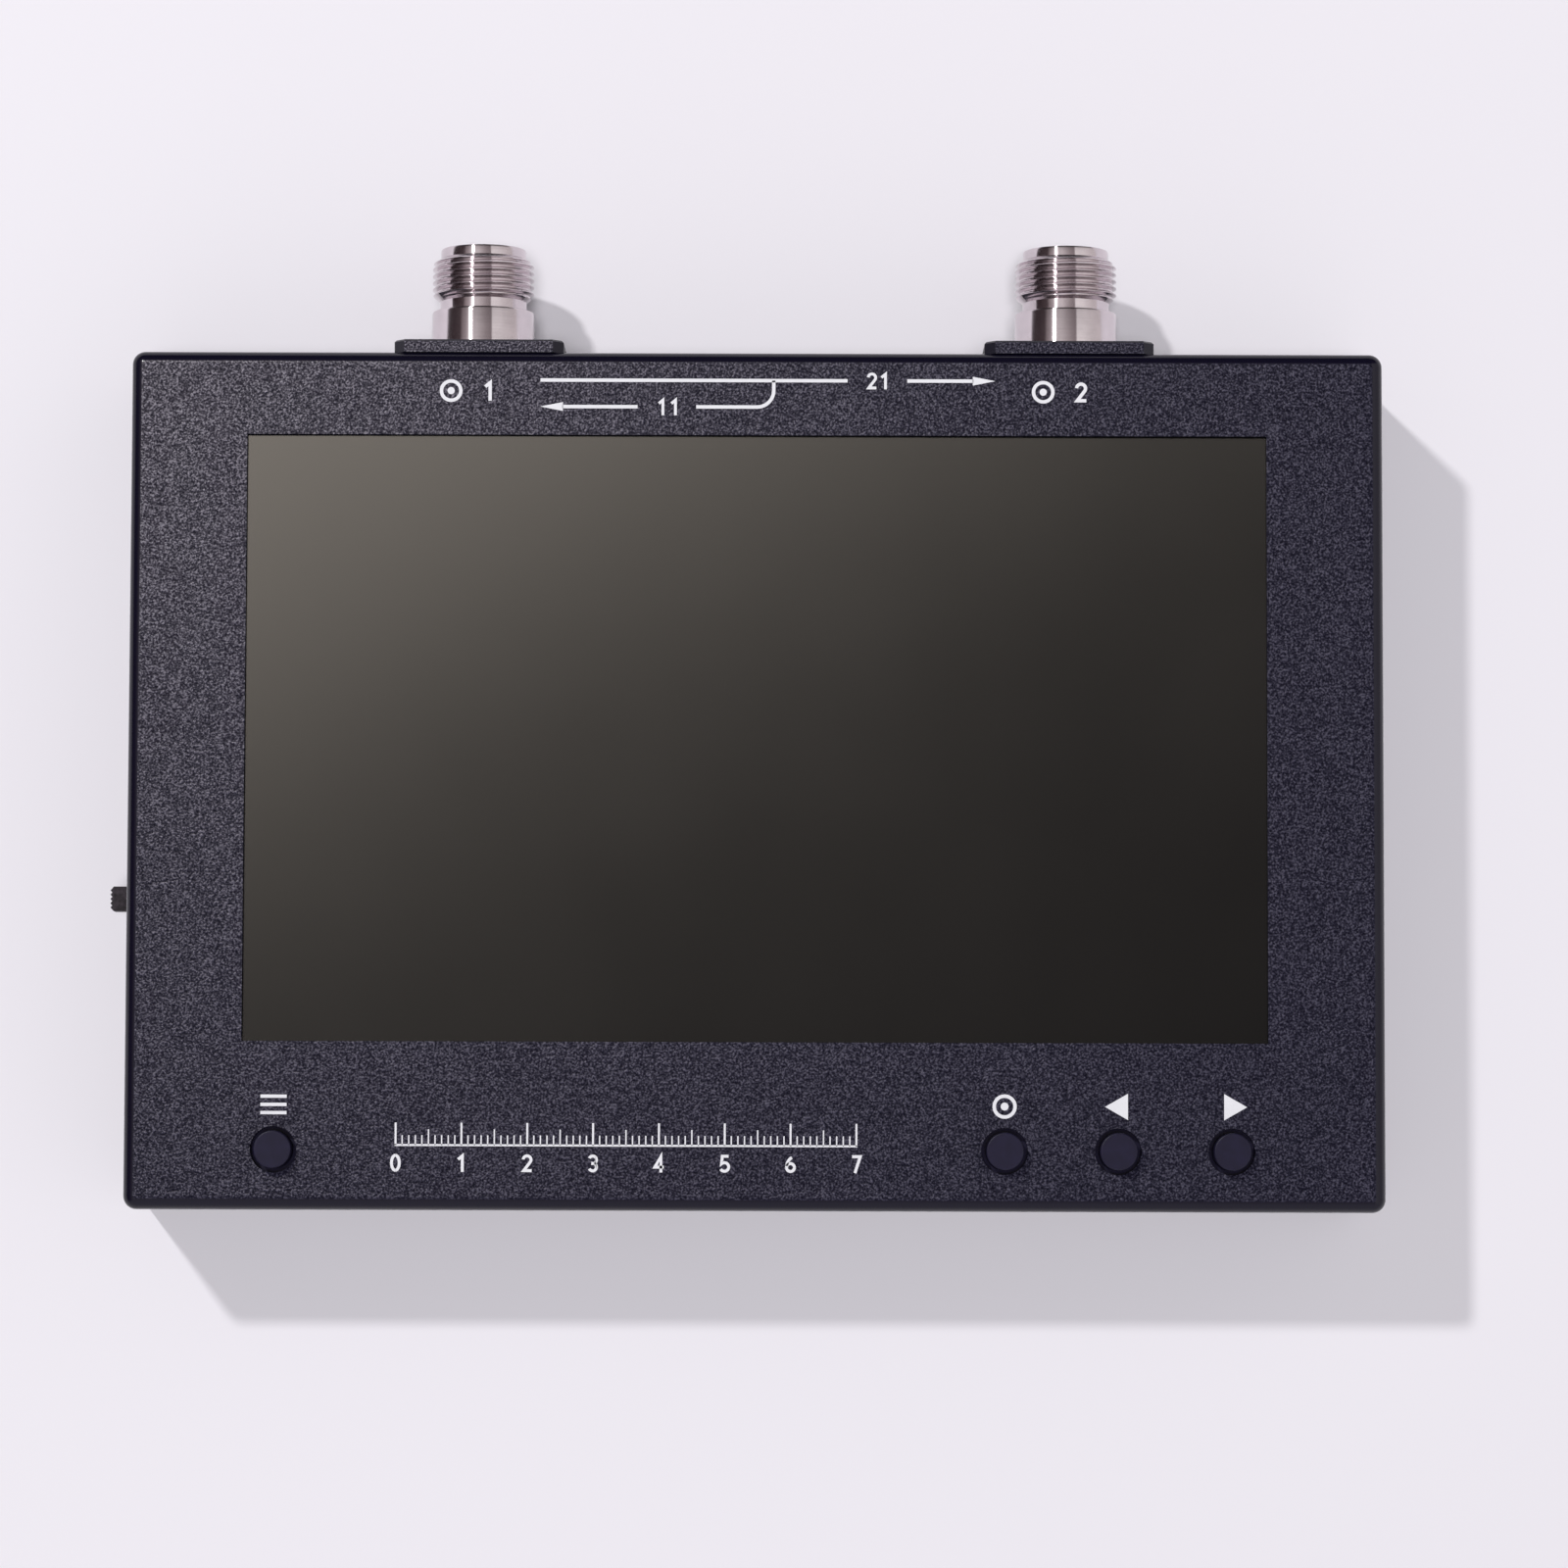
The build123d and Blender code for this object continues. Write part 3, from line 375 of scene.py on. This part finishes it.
def plain_finish(slot, color, roughness, metallic=0.0, grain=0.8, depth=0.004, contrast=0.12):
    """Moulded, turned or rolled surface: slight mottling, uneven gloss and a fine grain."""
    paint = Paint(slot, color, roughness, metallic)
    mottle = paint.noise(grain * MOTTLE_GRAINS, detail=3.0)
    paint.feed("Base Color", paint.ramp(mottle, mottled(color, 1 - contrast, 1 + contrast)))
    grains = paint.noise(grain, detail=4.0)
    smooth = roughness * (1 - GLOSS_SPREAD)
    rough = min(1.0, roughness * (1 + GLOSS_SPREAD))
    paint.feed("Roughness", paint.range(grains, *NOISE_SPAN, smooth, rough))
    paint.bump(grains, depth)
    return paint


COAT_TONE = (0.0075, 0.0069, 0.0212)
COAT_EDGE = (0.0052, 0.0043, 0.0125)
COAT_GLOSS = 0.30
COAT_EDGE_GLOSS = 0.3
COAT_ROUGH = 0.48
COAT_EDGE_ROUGH = 0.17
COAT_GRAIN = 0.31               # width of a grain
COAT_DETAIL = 1.6
COAT_BUMP = 0.075               # height of a grain
COAT_EDGE_BUMP = 0.02           # share of that on the edges
# Height on the grain, from 0 to 1, and the factor of the tone and of the gloss there
GRAIN_TONE = [(0.28, 0.35), (0.50, 0.85), (0.72, 2.2)]
GRAIN_GLOSS = [(0.32, 0.2), (0.50, 0.76), (0.72, 3.2)]


def coat_finish(slot):
    """Powder coat: a fine grain whose tops catch the light, smooth where it thins over the edges."""
    paint = Paint(slot, COAT_TONE, COAT_ROUGH)
    flat = paint.flat_share()
    grain = paint.noise(COAT_GRAIN, COAT_DETAIL)
    tone = paint.ramp(grain, [(height, shade(COAT_TONE, factor)) for height, factor in GRAIN_TONE])
    paint.feed("Base Color", paint.mix(flat, (*COAT_EDGE, 1.0), tone))
    gloss = (COAT_GLOSS,) * 3
    tops = paint.ramp(grain, [(height, shade(gloss, factor)) for height, factor in GRAIN_GLOSS])
    paint.set("Specular IOR Level", COAT_GLOSS)    # for viewers that don't follow the link
    paint.feed("Specular IOR Level", paint.mix(flat, (COAT_EDGE_GLOSS,) * 3 + (1.0,), tops))
    paint.feed("Roughness", paint.range(flat, 0.0, 1.0, COAT_EDGE_ROUGH, COAT_ROUGH))
    paint.bump(grain, COAT_BUMP, paint.range(flat, 0.0, 1.0, COAT_EDGE_BUMP, 1.0))
    return paint


GLASS_TONE = (0.0026, 0.0025, 0.0027)
GLASS_ROUGH = 0.18
GLASS_ROUGH_SPAN = (0.175, 0.19)
GLASS_GLOSS = 0.16
ETCH_GRAIN = 0.12
ETCH_BUMP = 0.0003
SMUDGE_GRAIN = 40.0


def glass_finish(slot):
    """Anti-glare cover glass over a dark panel."""
    paint = Paint(slot, GLASS_TONE, GLASS_ROUGH)
    etch = paint.noise(ETCH_GRAIN, detail=1.0)
    smudge = paint.noise(SMUDGE_GRAIN, detail=2.0)
    paint.feed("Base Color", paint.ramp(smudge, mottled(GLASS_TONE, 0.9, 1.1, NOISE_SPAN)))
    paint.feed("Roughness", paint.range(smudge, *NOISE_SPAN, *GLASS_ROUGH_SPAN))
    paint.bump(etch, ETCH_BUMP)
    paint.set("Specular IOR Level", GLASS_GLOSS)
    return paint


NICKEL_TONE = (0.69, 0.625, 0.65)
NICKEL_ROUGH = 0.16
NICKEL_ROUGH_SPAN = (0.14, 0.19)
LATHE_GRAIN = 0.16              # distance of the tool's marks
LATHE_STRETCH = (0.01, 1, 0.01)
TARNISH_GRAIN = 3.0
NICKEL_GRAIN = 0.3
NICKEL_BUMP = 0.001


def nickel_finish(slot):
    """Turned nickel-plated brass, with fine rings round its axis."""
    paint = Paint(slot, NICKEL_TONE, NICKEL_ROUGH, metallic=1.0)
    rings = paint.noise(LATHE_GRAIN, detail=3.0, stretch=LATHE_STRETCH)
    tarnish = paint.noise(TARNISH_GRAIN, detail=4.0)
    paint.feed("Base Color", paint.ramp(tarnish, mottled(NICKEL_TONE, 0.93, 1.03)))
    paint.feed("Roughness", paint.range(rings, *NOISE_SPAN, *NICKEL_ROUGH_SPAN))
    grain = paint.noise(NICKEL_GRAIN, detail=2.0)
    paint.bump(paint.math("ADD", rings, grain), NICKEL_BUMP)
    paint.set("Anisotropic", 1.0)
    paint.set("Anisotropic Rotation", 0.25)
    lathe = paint.nodes.new("ShaderNodeTangent")
    lathe.direction_type = "RADIAL"
    lathe.axis = "Y"
    paint.feed("Tangent", lathe.outputs["Tangent"])
    return paint


def key_finish(slot):
    """Moulded black plastic with a fine even grain."""
    paint = plain_finish(slot, (0.009, 0.0075, 0.024), 0.42, grain=0.25, depth=0.001)
    paint.set("Specular IOR Level", 0.3)
    return paint


def knob_finish(slot):
    """Moulded black plastic, uneven where fingers polish it."""
    paint = plain_finish(slot, (0.026, 0.0205, 0.026), 0.5, grain=0.12, depth=0.003, contrast=0.6)
    paint.set("Specular IOR Level", 0.25)
    return paint


def board_finish(slot):
    """Green solder mask with paler tracks under it."""
    paint = Paint(slot, (0.012, 0.085, 0.035), 0.32)
    tracks = paint.cells(2.4)
    stops = [(0.30, (0.010, 0.070, 0.030)), (0.42, (0.022, 0.130, 0.055))]
    paint.feed("Base Color", paint.ramp(tracks, stops))
    paint.bump(tracks, 0.02)
    paint.set("Coat Weight", 0.2)
    return paint


# The other slots: what differs from the usual values of plain_finish
PLAIN_FINISHES = {
    "gold": dict(color=(0.83, 0.58, 0.24), roughness=0.2, metallic=1.0, grain=0.2, depth=0.001),
    "ptfe": dict(color=(0.82, 0.82, 0.79), roughness=0.5, grain=0.5, contrast=0.03),
    "display": dict(color=(0.01, 0.01, 0.011), roughness=0.25, grain=0.3, depth=0.001),
    "acrylic": dict(color=(0.8, 0.8, 0.78), roughness=0.2, grain=1.0, contrast=0.03),
    "steel": dict(color=(0.55, 0.54, 0.53), roughness=0.35, metallic=1.0, grain=0.4),
    "screw_black": dict(color=(0.02, 0.02, 0.022), roughness=0.4, metallic=0.6, grain=0.2),
    "screw_zinc": dict(color=(0.55, 0.56, 0.58), roughness=0.3, metallic=1.0, grain=0.3),
    "foot_rubber": dict(color=(0.018, 0.018, 0.02), roughness=0.75, grain=0.3, depth=0.01),
    "seal_foam": dict(color=(0.012, 0.012, 0.013), roughness=0.85, grain=0.15, depth=0.02),
    "chip_plastic": dict(color=(0.025, 0.025, 0.028), roughness=0.5, grain=0.15),
    "plunger_plastic": dict(color=(0.6, 0.6, 0.58), roughness=0.45, grain=0.3, contrast=0.04),
    "polyimide": dict(color=(0.5, 0.2, 0.03), roughness=0.3, grain=1.0),
    "cell_wrap": dict(color=(0.5, 0.51, 0.53), roughness=0.35, grain=2.0, depth=0.02, contrast=0.05),
    "tape": dict(color=(0.75, 0.75, 0.73), roughness=0.7, grain=0.6, contrast=0.03),
    "plug_plastic": dict(color=(0.80, 0.79, 0.83), roughness=0.6, grain=0.4, contrast=0.02),
    "lead_insulation": dict(color=(0.4, 0.02, 0.02), roughness=0.4, grain=0.4),
    "print_ink": dict(color=(0.80, 0.79, 0.83), roughness=0.6, grain=0.4, contrast=0.02),
}


def make_finishes():
    """One material for each slot of the record."""
    finishes = {
        "case_coat": coat_finish("case_coat"),
        "plate_coat": coat_finish("plate_coat"),
        "nickel": nickel_finish("nickel"),
        "cover_glass": glass_finish("cover_glass"),
        "circuit_board": board_finish("circuit_board"),
        "key_plastic": key_finish("key_plastic"),
        "knob_plastic": knob_finish("knob_plastic"),
    }
    for slot, look in PLAIN_FINISHES.items():
        finishes[slot] = plain_finish(slot, **look)
    return finishes


def dress_nodes(finishes):
    """Give every CAD node the finish of its slot."""
    slots = {part["node"]: part["material_slot"] for part in frame["record"]["subparts"]}
    for name, node in frame["nodes"].items():
        node.data.materials.clear()
        node.data.materials.append(finishes[slots[name]].material)


# ------------------------------------------------------------------ new pieces
def add_piece(mesh, material, body):
    """A new piece from a mesh, riding on a body."""
    mesh.materials.append(material)
    piece = bpy.data.objects.new(mesh.name, mesh)
    bpy.context.collection.objects.link(piece)
    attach(piece, body)
    return piece


# Jack bodies: the same outline as the CAD shell, with a true helical thread.
# Places along a jack are measured from the port side of the case.
THREAD_PITCH = 25.4 / 24        # 24 turns to the inch
THREAD_R = 7.9
THREAD_ROOT_R = 7.25
THREAD_CREST = 0.12             # these two are shares of the pitch
THREAD_ROOT = 0.16
THREAD_FROM = 9.6
THREAD_TO = 16.4
THREAD_IN_SLOPE = 1.1
THREAD_OUT_SLOPE = 1.5
UNDERCUT_R = 6.75
RING_R = 6.65
BODY_R = 7.95
BODY_END = 8.05
BODY_CHAMFER = 0.35
MOUTH_R = 4.05
MOUTH_DEPTH = 9.1
MOUTH_CHAMFER = 0.4
RING_EDGE = 0.35
EDGE_STEP = 0.1                 # middle point of a rounded edge, in from both of its faces
SEAT_R = 3.5
NECK_R = 2.05
SEAT_FROM_BACK = 1.0
FLANGE_T = 2.0
COLUMNS = 144
ROWS_PER_PITCH = 12
MERGE_DISTANCE = 1e-7           # metres
SHARP_ANGLE = 28                # degrees between faces that meet at an edge


def thread_radius(phase, y):
    """Radius of the thread at a share of its pitch, cut by the cones at its two ends."""
    flank = (1 - THREAD_CREST - THREAD_ROOT) / 2
    if phase < THREAD_CREST:
        radius = THREAD_R
    elif phase < THREAD_CREST + flank:
        radius = THREAD_R - (THREAD_R - THREAD_ROOT_R) * (phase - THREAD_CREST) / flank
    elif phase < 1 - flank:
        radius = THREAD_ROOT_R
    else:
        radius = THREAD_R - (THREAD_R - THREAD_ROOT_R) * (1 - phase) / flank
    inner_cone = UNDERCUT_R + (y - THREAD_FROM) * THREAD_IN_SLOPE
    outer_cone = RING_R + (THREAD_TO - y) * THREAD_OUT_SLOPE
    return min(radius, inner_cone, outer_cone)


def ring_point(port, radius, y, column):
    """Point of a ring round a port's axis."""
    angle = 2 * math.pi * column / COLUMNS
    x = port.x + radius * math.sin(angle)
    z = port.z + radius * math.cos(angle)
    return Vector((x, PORT_SIDE_Y + y, z)) * MM


def add_thread(bm, port):
    """Rows of points that follow the helix, so that the crests stay sharp."""
    turns = math.ceil((THREAD_TO - THREAD_FROM) / THREAD_PITCH) + 1
    rows = []
    for row in range(-ROWS_PER_PITCH, turns * ROWS_PER_PITCH + 1):
        phase = row % ROWS_PER_PITCH / ROWS_PER_PITCH
        points = []
        for column in range(COLUMNS + 1):
            along = THREAD_FROM + THREAD_PITCH * (row / ROWS_PER_PITCH + column / COLUMNS)
            y = min(max(along, THREAD_FROM), THREAD_TO)
            points.append(bm.verts.new(ring_point(port, thread_radius(phase, y), y, column)))
        rows.append(points)
    for lower, upper in zip(rows, rows[1:]):
        for column in range(COLUMNS):
            bm.faces.new((lower[column], upper[column], upper[column + 1], lower[column + 1]))


def join_rings(bm, first, second):
    """Faces between two closed rings of points."""
    for column in range(COLUMNS):
        after = (column + 1) % COLUMNS
        bm.faces.new((first[column], second[column], second[after], first[after]))


def add_turned(bm, port, outline):
    """Surface of revolution through (radius, y) points."""
    rings = [[bm.verts.new(ring_point(port, r, y, c)) for c in range(COLUMNS)] for r, y in outline]
    for first, second in zip(rings, rings[1:]):
        join_rings(bm, first, second)


def add_flange(bm, port, half, y0, y1):
    """Square flange round the body, behind the wall."""
    rings = []
    for y in (y0, y1):
        inner, outer = [], []
        for column in range(COLUMNS):
            angle = 2 * math.pi * column / COLUMNS
            reach = half / max(abs(math.sin(angle)), abs(math.cos(angle)))
            inner.append(bm.verts.new(ring_point(port, BODY_R, y, column)))
            outer.append(bm.verts.new(ring_point(port, reach, y, column)))
        rings += [inner, outer]
    for first, second in ((0, 1), (1, 3), (3, 2), (2, 0)):
        join_rings(bm, rings[first], rings[second])


def make_jack(number, finishes):
    """One threaded jack body, in the place of its CAD shell."""
    port = PORTS[number]
    low, high = box_mm(f"port_{number}_shell")
    back = low.y - PORT_SIDE_Y
    tip = high.y - PORT_SIDE_Y
    half_flange = (high.x - low.x) / 2
    mouth_floor = tip - MOUTH_DEPTH
    seat = back + SEAT_FROM_BACK
    bm = bmesh.new()
    add_thread(bm, port)
    add_turned(bm, port, [
        (RING_R, THREAD_TO), (RING_R, tip - RING_EDGE), (RING_R - EDGE_STEP, tip - EDGE_STEP),
        (RING_R - RING_EDGE, tip), (MOUTH_R + MOUTH_CHAMFER, tip), (MOUTH_R, tip - MOUTH_CHAMFER),
        (MOUTH_R, mouth_floor), (SEAT_R, mouth_floor), (SEAT_R, seat), (NECK_R, seat), (NECK_R, back),
        (BODY_R, back), (BODY_R, BODY_END - BODY_CHAMFER), (BODY_R - EDGE_STEP, BODY_END - EDGE_STEP),
        (BODY_R - BODY_CHAMFER, BODY_END), (UNDERCUT_R, BODY_END), (UNDERCUT_R, THREAD_FROM),
    ])
    bmesh.ops.remove_doubles(bm, verts=bm.verts, dist=MERGE_DISTANCE)
    bmesh.ops.dissolve_degenerate(bm, edges=bm.edges, dist=MERGE_DISTANCE)
    add_flange(bm, port, half_flange, back, back + FLANGE_T)
    bmesh.ops.recalc_face_normals(bm, faces=bm.faces)
    mesh = bpy.data.meshes.new(f"jack_{number}")
    bm.to_mesh(mesh)
    bm.free()
    mesh.shade_smooth()
    mesh.set_sharp_from_angle(angle=math.radians(SHARP_ANGLE))
    jack = add_piece(mesh, finishes["nickel"].material, CASE_BODY)
    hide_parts(f"port_{number}_shell")


# Print: thin raised ink on the face plate
INK_T = 0.03                    # over the face
INK_SUNK = 0.02                 # into the coat
LINE_W = 0.53
CURVE_STEPS = 24
LEAST_MITRE = 0.3               # keeps a sharp bend of a line from running out to a spike


def arc(x, y, radius, start, end, squeeze=1.0):
    """Points along an arc, from one angle to another, in degrees."""
    angles = [math.radians(start + (end - start) * i / CURVE_STEPS) for i in range(CURVE_STEPS + 1)]
    return [(x + squeeze * radius * math.cos(a), y + radius * math.sin(a)) for a in angles]


# Plain digits as lines on a grid one unit high
DIGIT_W = 0.6
DIGIT_GAP = 0.14
DIGIT_LINE = 0.165
DIGITS = {
    "0": [arc(0.30, 0.5, 0.42, 90, 270, 0.52), arc(0.30, 0.5, 0.42, -90, 90, 0.52)],
    "1": [[(0.12, 0.70), (0.36, 0.90), (0.36, 0.0)]],
    "2": [arc(0.30, 0.69, 0.22, 175, -35) + [(0.11, 0.08), (0.56, 0.08)]],
    "3": [arc(0.29, 0.70, 0.21, 155, -90) + arc(0.29, 0.29, 0.21, 90, -155)],
    "4": [[(0.42, 0.0), (0.42, 0.90), (0.08, 0.30), (0.58, 0.30)]],
    "5": [[(0.52, 0.92), (0.17, 0.92), (0.13, 0.50)] + arc(0.29, 0.32, 0.24, 125, -150)],
    "6": [
        arc(0.30, 0.30, 0.22, 0, 180),
        arc(0.30, 0.30, 0.22, 180, 360),
        arc(0.55, 0.30, 0.60, 172, 112, 0.78),
    ],
    "7": [[(0.06, 0.92), (0.52, 0.92), (0.22, 0.0)]],
}


class Ink:
    """Flat marks on the face plate, collected into one mesh."""

    def __init__(self, name):
        self.name = name
        self.bm = bmesh.new()

    def outline(self, points):
        """A filled shape, with straight sides down into the coat."""
        upper = [self.bm.verts.new(Vector((x, y, FACE_Z + INK_T)) * MM) for x, y in points]
        lower = [self.bm.verts.new(Vector((x, y, FACE_Z - INK_SUNK)) * MM) for x, y in points]
        self.bm.faces.new(upper)
        self.bm.faces.new(lower[::-1])
        for i in range(len(points)):
            j = (i + 1) % len(points)
            self.bm.faces.new((upper[i], lower[i], lower[j], upper[j]))

    def line(self, points, width=LINE_W):
        """A line of even width through its points."""
        sides = []
        for i, (x, y) in enumerate(points):
            before = Vector(points[max(i - 1, 0)])
            after = Vector(points[min(i + 1, len(points) - 1)])
            here = Vector((x, y))
            ahead = (after - here).normalized() if i < len(points) - 1 else (here - before).normalized()
            behind = (here - before).normalized() if i else ahead
            across = Vector((-(ahead + behind).y, (ahead + behind).x)).normalized()
            reach = width / 2 / max(LEAST_MITRE, across.dot(Vector((-ahead.y, ahead.x))))
            sides.append((here + across * reach, here - across * reach))
        lefts = [tuple(left) for left, right in sides]
        rights = [tuple(right) for left, right in sides]
        self.outline(lefts + rights[::-1])

    def ring(self, x, y, radius, width=LINE_W):
        """A circle drawn as two half rings that touch."""
        for start in (0, 180):
            outer = arc(x, y, radius, start, start + 180)
            inner = arc(x, y, radius - width, start, start + 180)
            self.outline(outer + inner[::-1])

    def dot(self, x, y, radius):
        """A filled circle."""
        angles = [math.pi * i / CURVE_STEPS for i in range(2 * CURVE_STEPS)]
        self.outline([(x + radius * math.cos(a), y + radius * math.sin(a)) for a in angles])

    def number(self, digits, x, y, height):
        """Plain digits, centred on a point."""
        step = height * (DIGIT_W + DIGIT_GAP)
        left = x - (len(digits) * step - height * DIGIT_GAP) / 2
        for place, digit in enumerate(digits):
            for path in DIGITS[digit]:
                points = [(left + place * step + u * height, y + (v - 0.5) * height) for u, v in path]
                self.line(points, DIGIT_LINE * height)

    def finish(self, material):
        """The marks as a piece on the case."""
        mesh = bpy.data.meshes.new(self.name)
        bmesh.ops.recalc_face_normals(self.bm, faces=self.bm.faces)
        self.bm.to_mesh(mesh)
        self.bm.free()
        add_piece(mesh, material, CASE_BODY)


PATH_Y = 61.28                  # line from the first port to the second
PATH_LEFT = -33.2
PATH_BREAK = (13.9, 23.05)      # where the digits interrupt it
PATH_DIGITS_X = 18.6
PATH_RIGHT = 33.2
RETURN_Y = 57.19                # line that turns back to the first port
RETURN_BREAK = (-18.3, -9.3)
RETURN_DIGITS_X = -13.6
RETURN_BEND_X = 0.03
RETURN_R = 2.55
PATH_DIGITS_H = 2.6
ARROW_L = 3.46
ARROW_HALF = 0.68
ARROW_LAP = 0.1                 # of an arrow head over its line


def make_path_print(material):
    """Signal path between the ports: one arrow across, and one that turns back."""
    ink = Ink("path_print")
    ink.line([(PATH_LEFT, PATH_Y), (PATH_BREAK[0], PATH_Y)])
    ink.number("21", PATH_DIGITS_X, PATH_Y, PATH_DIGITS_H)
    ink.line([(PATH_BREAK[1], PATH_Y), (PATH_RIGHT, PATH_Y)])
    head = PATH_RIGHT - ARROW_LAP
    ink.outline([(head, PATH_Y + ARROW_HALF), (head, PATH_Y - ARROW_HALF), (head + ARROW_L, PATH_Y)])
    head = PATH_LEFT + ARROW_L
    ink.outline([(head, RETURN_Y - ARROW_HALF), (head, RETURN_Y + ARROW_HALF), (PATH_LEFT, RETURN_Y)])
    ink.line([(head - ARROW_LAP, RETURN_Y), (RETURN_BREAK[0], RETURN_Y)])
    ink.number("11", RETURN_DIGITS_X, RETURN_Y, PATH_DIGITS_H)
    bend = arc(RETURN_BEND_X, RETURN_Y + RETURN_R, RETURN_R, -90, 0)
    ink.line([(RETURN_BREAK[1], RETURN_Y), *bend, (RETURN_BEND_X + RETURN_R, PATH_Y)])
    ink.finish(material)


PORT_MARK_Y = 59.6
PORT_RING_X = -4.1              # this and the digit's place are from the port's axis
PORT_RING_R = 1.75
PORT_DOT_R = 0.55
PORT_DIGIT_X = 1.7
PORT_DIGIT_H = 3.1


def make_port_print(number, material):
    """Coaxial socket symbol and the port's number."""
    ink = Ink(f"port_{number}_print")
    x = PORTS[number].x
    ink.ring(x + PORT_RING_X, PORT_MARK_Y, PORT_RING_R)
    ink.dot(x + PORT_RING_X, PORT_MARK_Y, PORT_DOT_R)
    ink.number(str(number), x + PORT_DIGIT_X, PORT_MARK_Y, PORT_DIGIT_H)
    ink.finish(material)


KEY_MARK_Y = -49.8
BAR_HALF = 2.0
BAR_W = 0.5
BAR_STEP = 1.25
SELECT_RING_R = 1.85
SELECT_DOT_R = 0.6
TRIANGLE_W = 3.5
TRIANGLE_HALF = 2.0
LEFT_SHIFT = -0.25              # of the two arrow heads from the middles of their keys
RIGHT_SHIFT = 0.6


def make_key_print(material):
    """Menu bars, select ring and two arrow heads above the keys."""
    ink = Ink("key_print")
    x = KEYS["fn"].x
    for row in (-1, 0, 1):
        y = KEY_MARK_Y + row * BAR_STEP
        ink.line([(x - BAR_HALF, y), (x + BAR_HALF, y)], BAR_W)
    x = KEYS["ctrl"].x
    ink.ring(x, KEY_MARK_Y, SELECT_RING_R)
    ink.dot(x, KEY_MARK_Y, SELECT_DOT_R)
    x = KEYS["left"].x + LEFT_SHIFT
    half = TRIANGLE_W / 2
    low, high = KEY_MARK_Y - TRIANGLE_HALF, KEY_MARK_Y + TRIANGLE_HALF
    ink.outline([(x - half, KEY_MARK_Y), (x + half, low), (x + half, high)])
    x = KEYS["right"].x + RIGHT_SHIFT
    ink.outline([(x + half, KEY_MARK_Y), (x - half, high), (x - half, low)])
    ink.finish(material)


RULE_LEFT = -54.5
RULE_LENGTH = 70
RULE_Y = -55.9
RULE_STEP = 10                  # from number to number
RULE_TICKS = {RULE_STEP: 3.4, 5: 2.4, 1: 1.5}    # spacing of the ticks, and their height
RULE_LINE_W = 0.3
RULE_TICK_W = 0.2
RULE_DIGITS_H = 2.7
RULE_DIGITS_Y = -58.6


def make_rule_print(material):
    """A plain rule with centimetre numbers, under the screen."""
    ink = Ink("rule_print")
    overhang = RULE_LINE_W / 2
    right = RULE_LEFT + RULE_LENGTH
    ink.line([(RULE_LEFT - overhang, RULE_Y), (right + overhang, RULE_Y)], RULE_LINE_W)
    for tick in range(RULE_LENGTH + 1):
        height = next(RULE_TICKS[every] for every in RULE_TICKS if tick % every == 0)
        width = RULE_LINE_W if tick % RULE_STEP == 0 else RULE_TICK_W
        x = RULE_LEFT + tick
        ink.line([(x, RULE_Y), (x, RULE_Y + height)], width)
    for count in range(RULE_LENGTH // RULE_STEP + 1):
        ink.number(str(count), RULE_LEFT + count * RULE_STEP, RULE_DIGITS_Y, RULE_DIGITS_H)
    ink.finish(material)


# ------------------------------------------------------------------ the scene
bpy.context.scene.view_settings.view_transform = "Standard"
make_camera()
make_floor()
make_world()
make_bulb("key", MAIN_WATTS, MAIN_PLACE, MAIN_RADIUS)
glint = make_bulb("glint", GLINT_WATTS, GLINT_PLACE, GLINT_RADIUS, GLINT_COLOR)
only_for(glint, COAT_NODES)
make_fill()
make_glow()
finishes = make_finishes()
dress_nodes(finishes)
for number in PORTS:
    make_jack(number, finishes)
ink_paint = finishes["print_ink"].material
make_path_print(ink_paint)
make_key_print(ink_paint)
make_rule_print(ink_paint)
for number in PORTS:
    make_port_print(number, ink_paint)
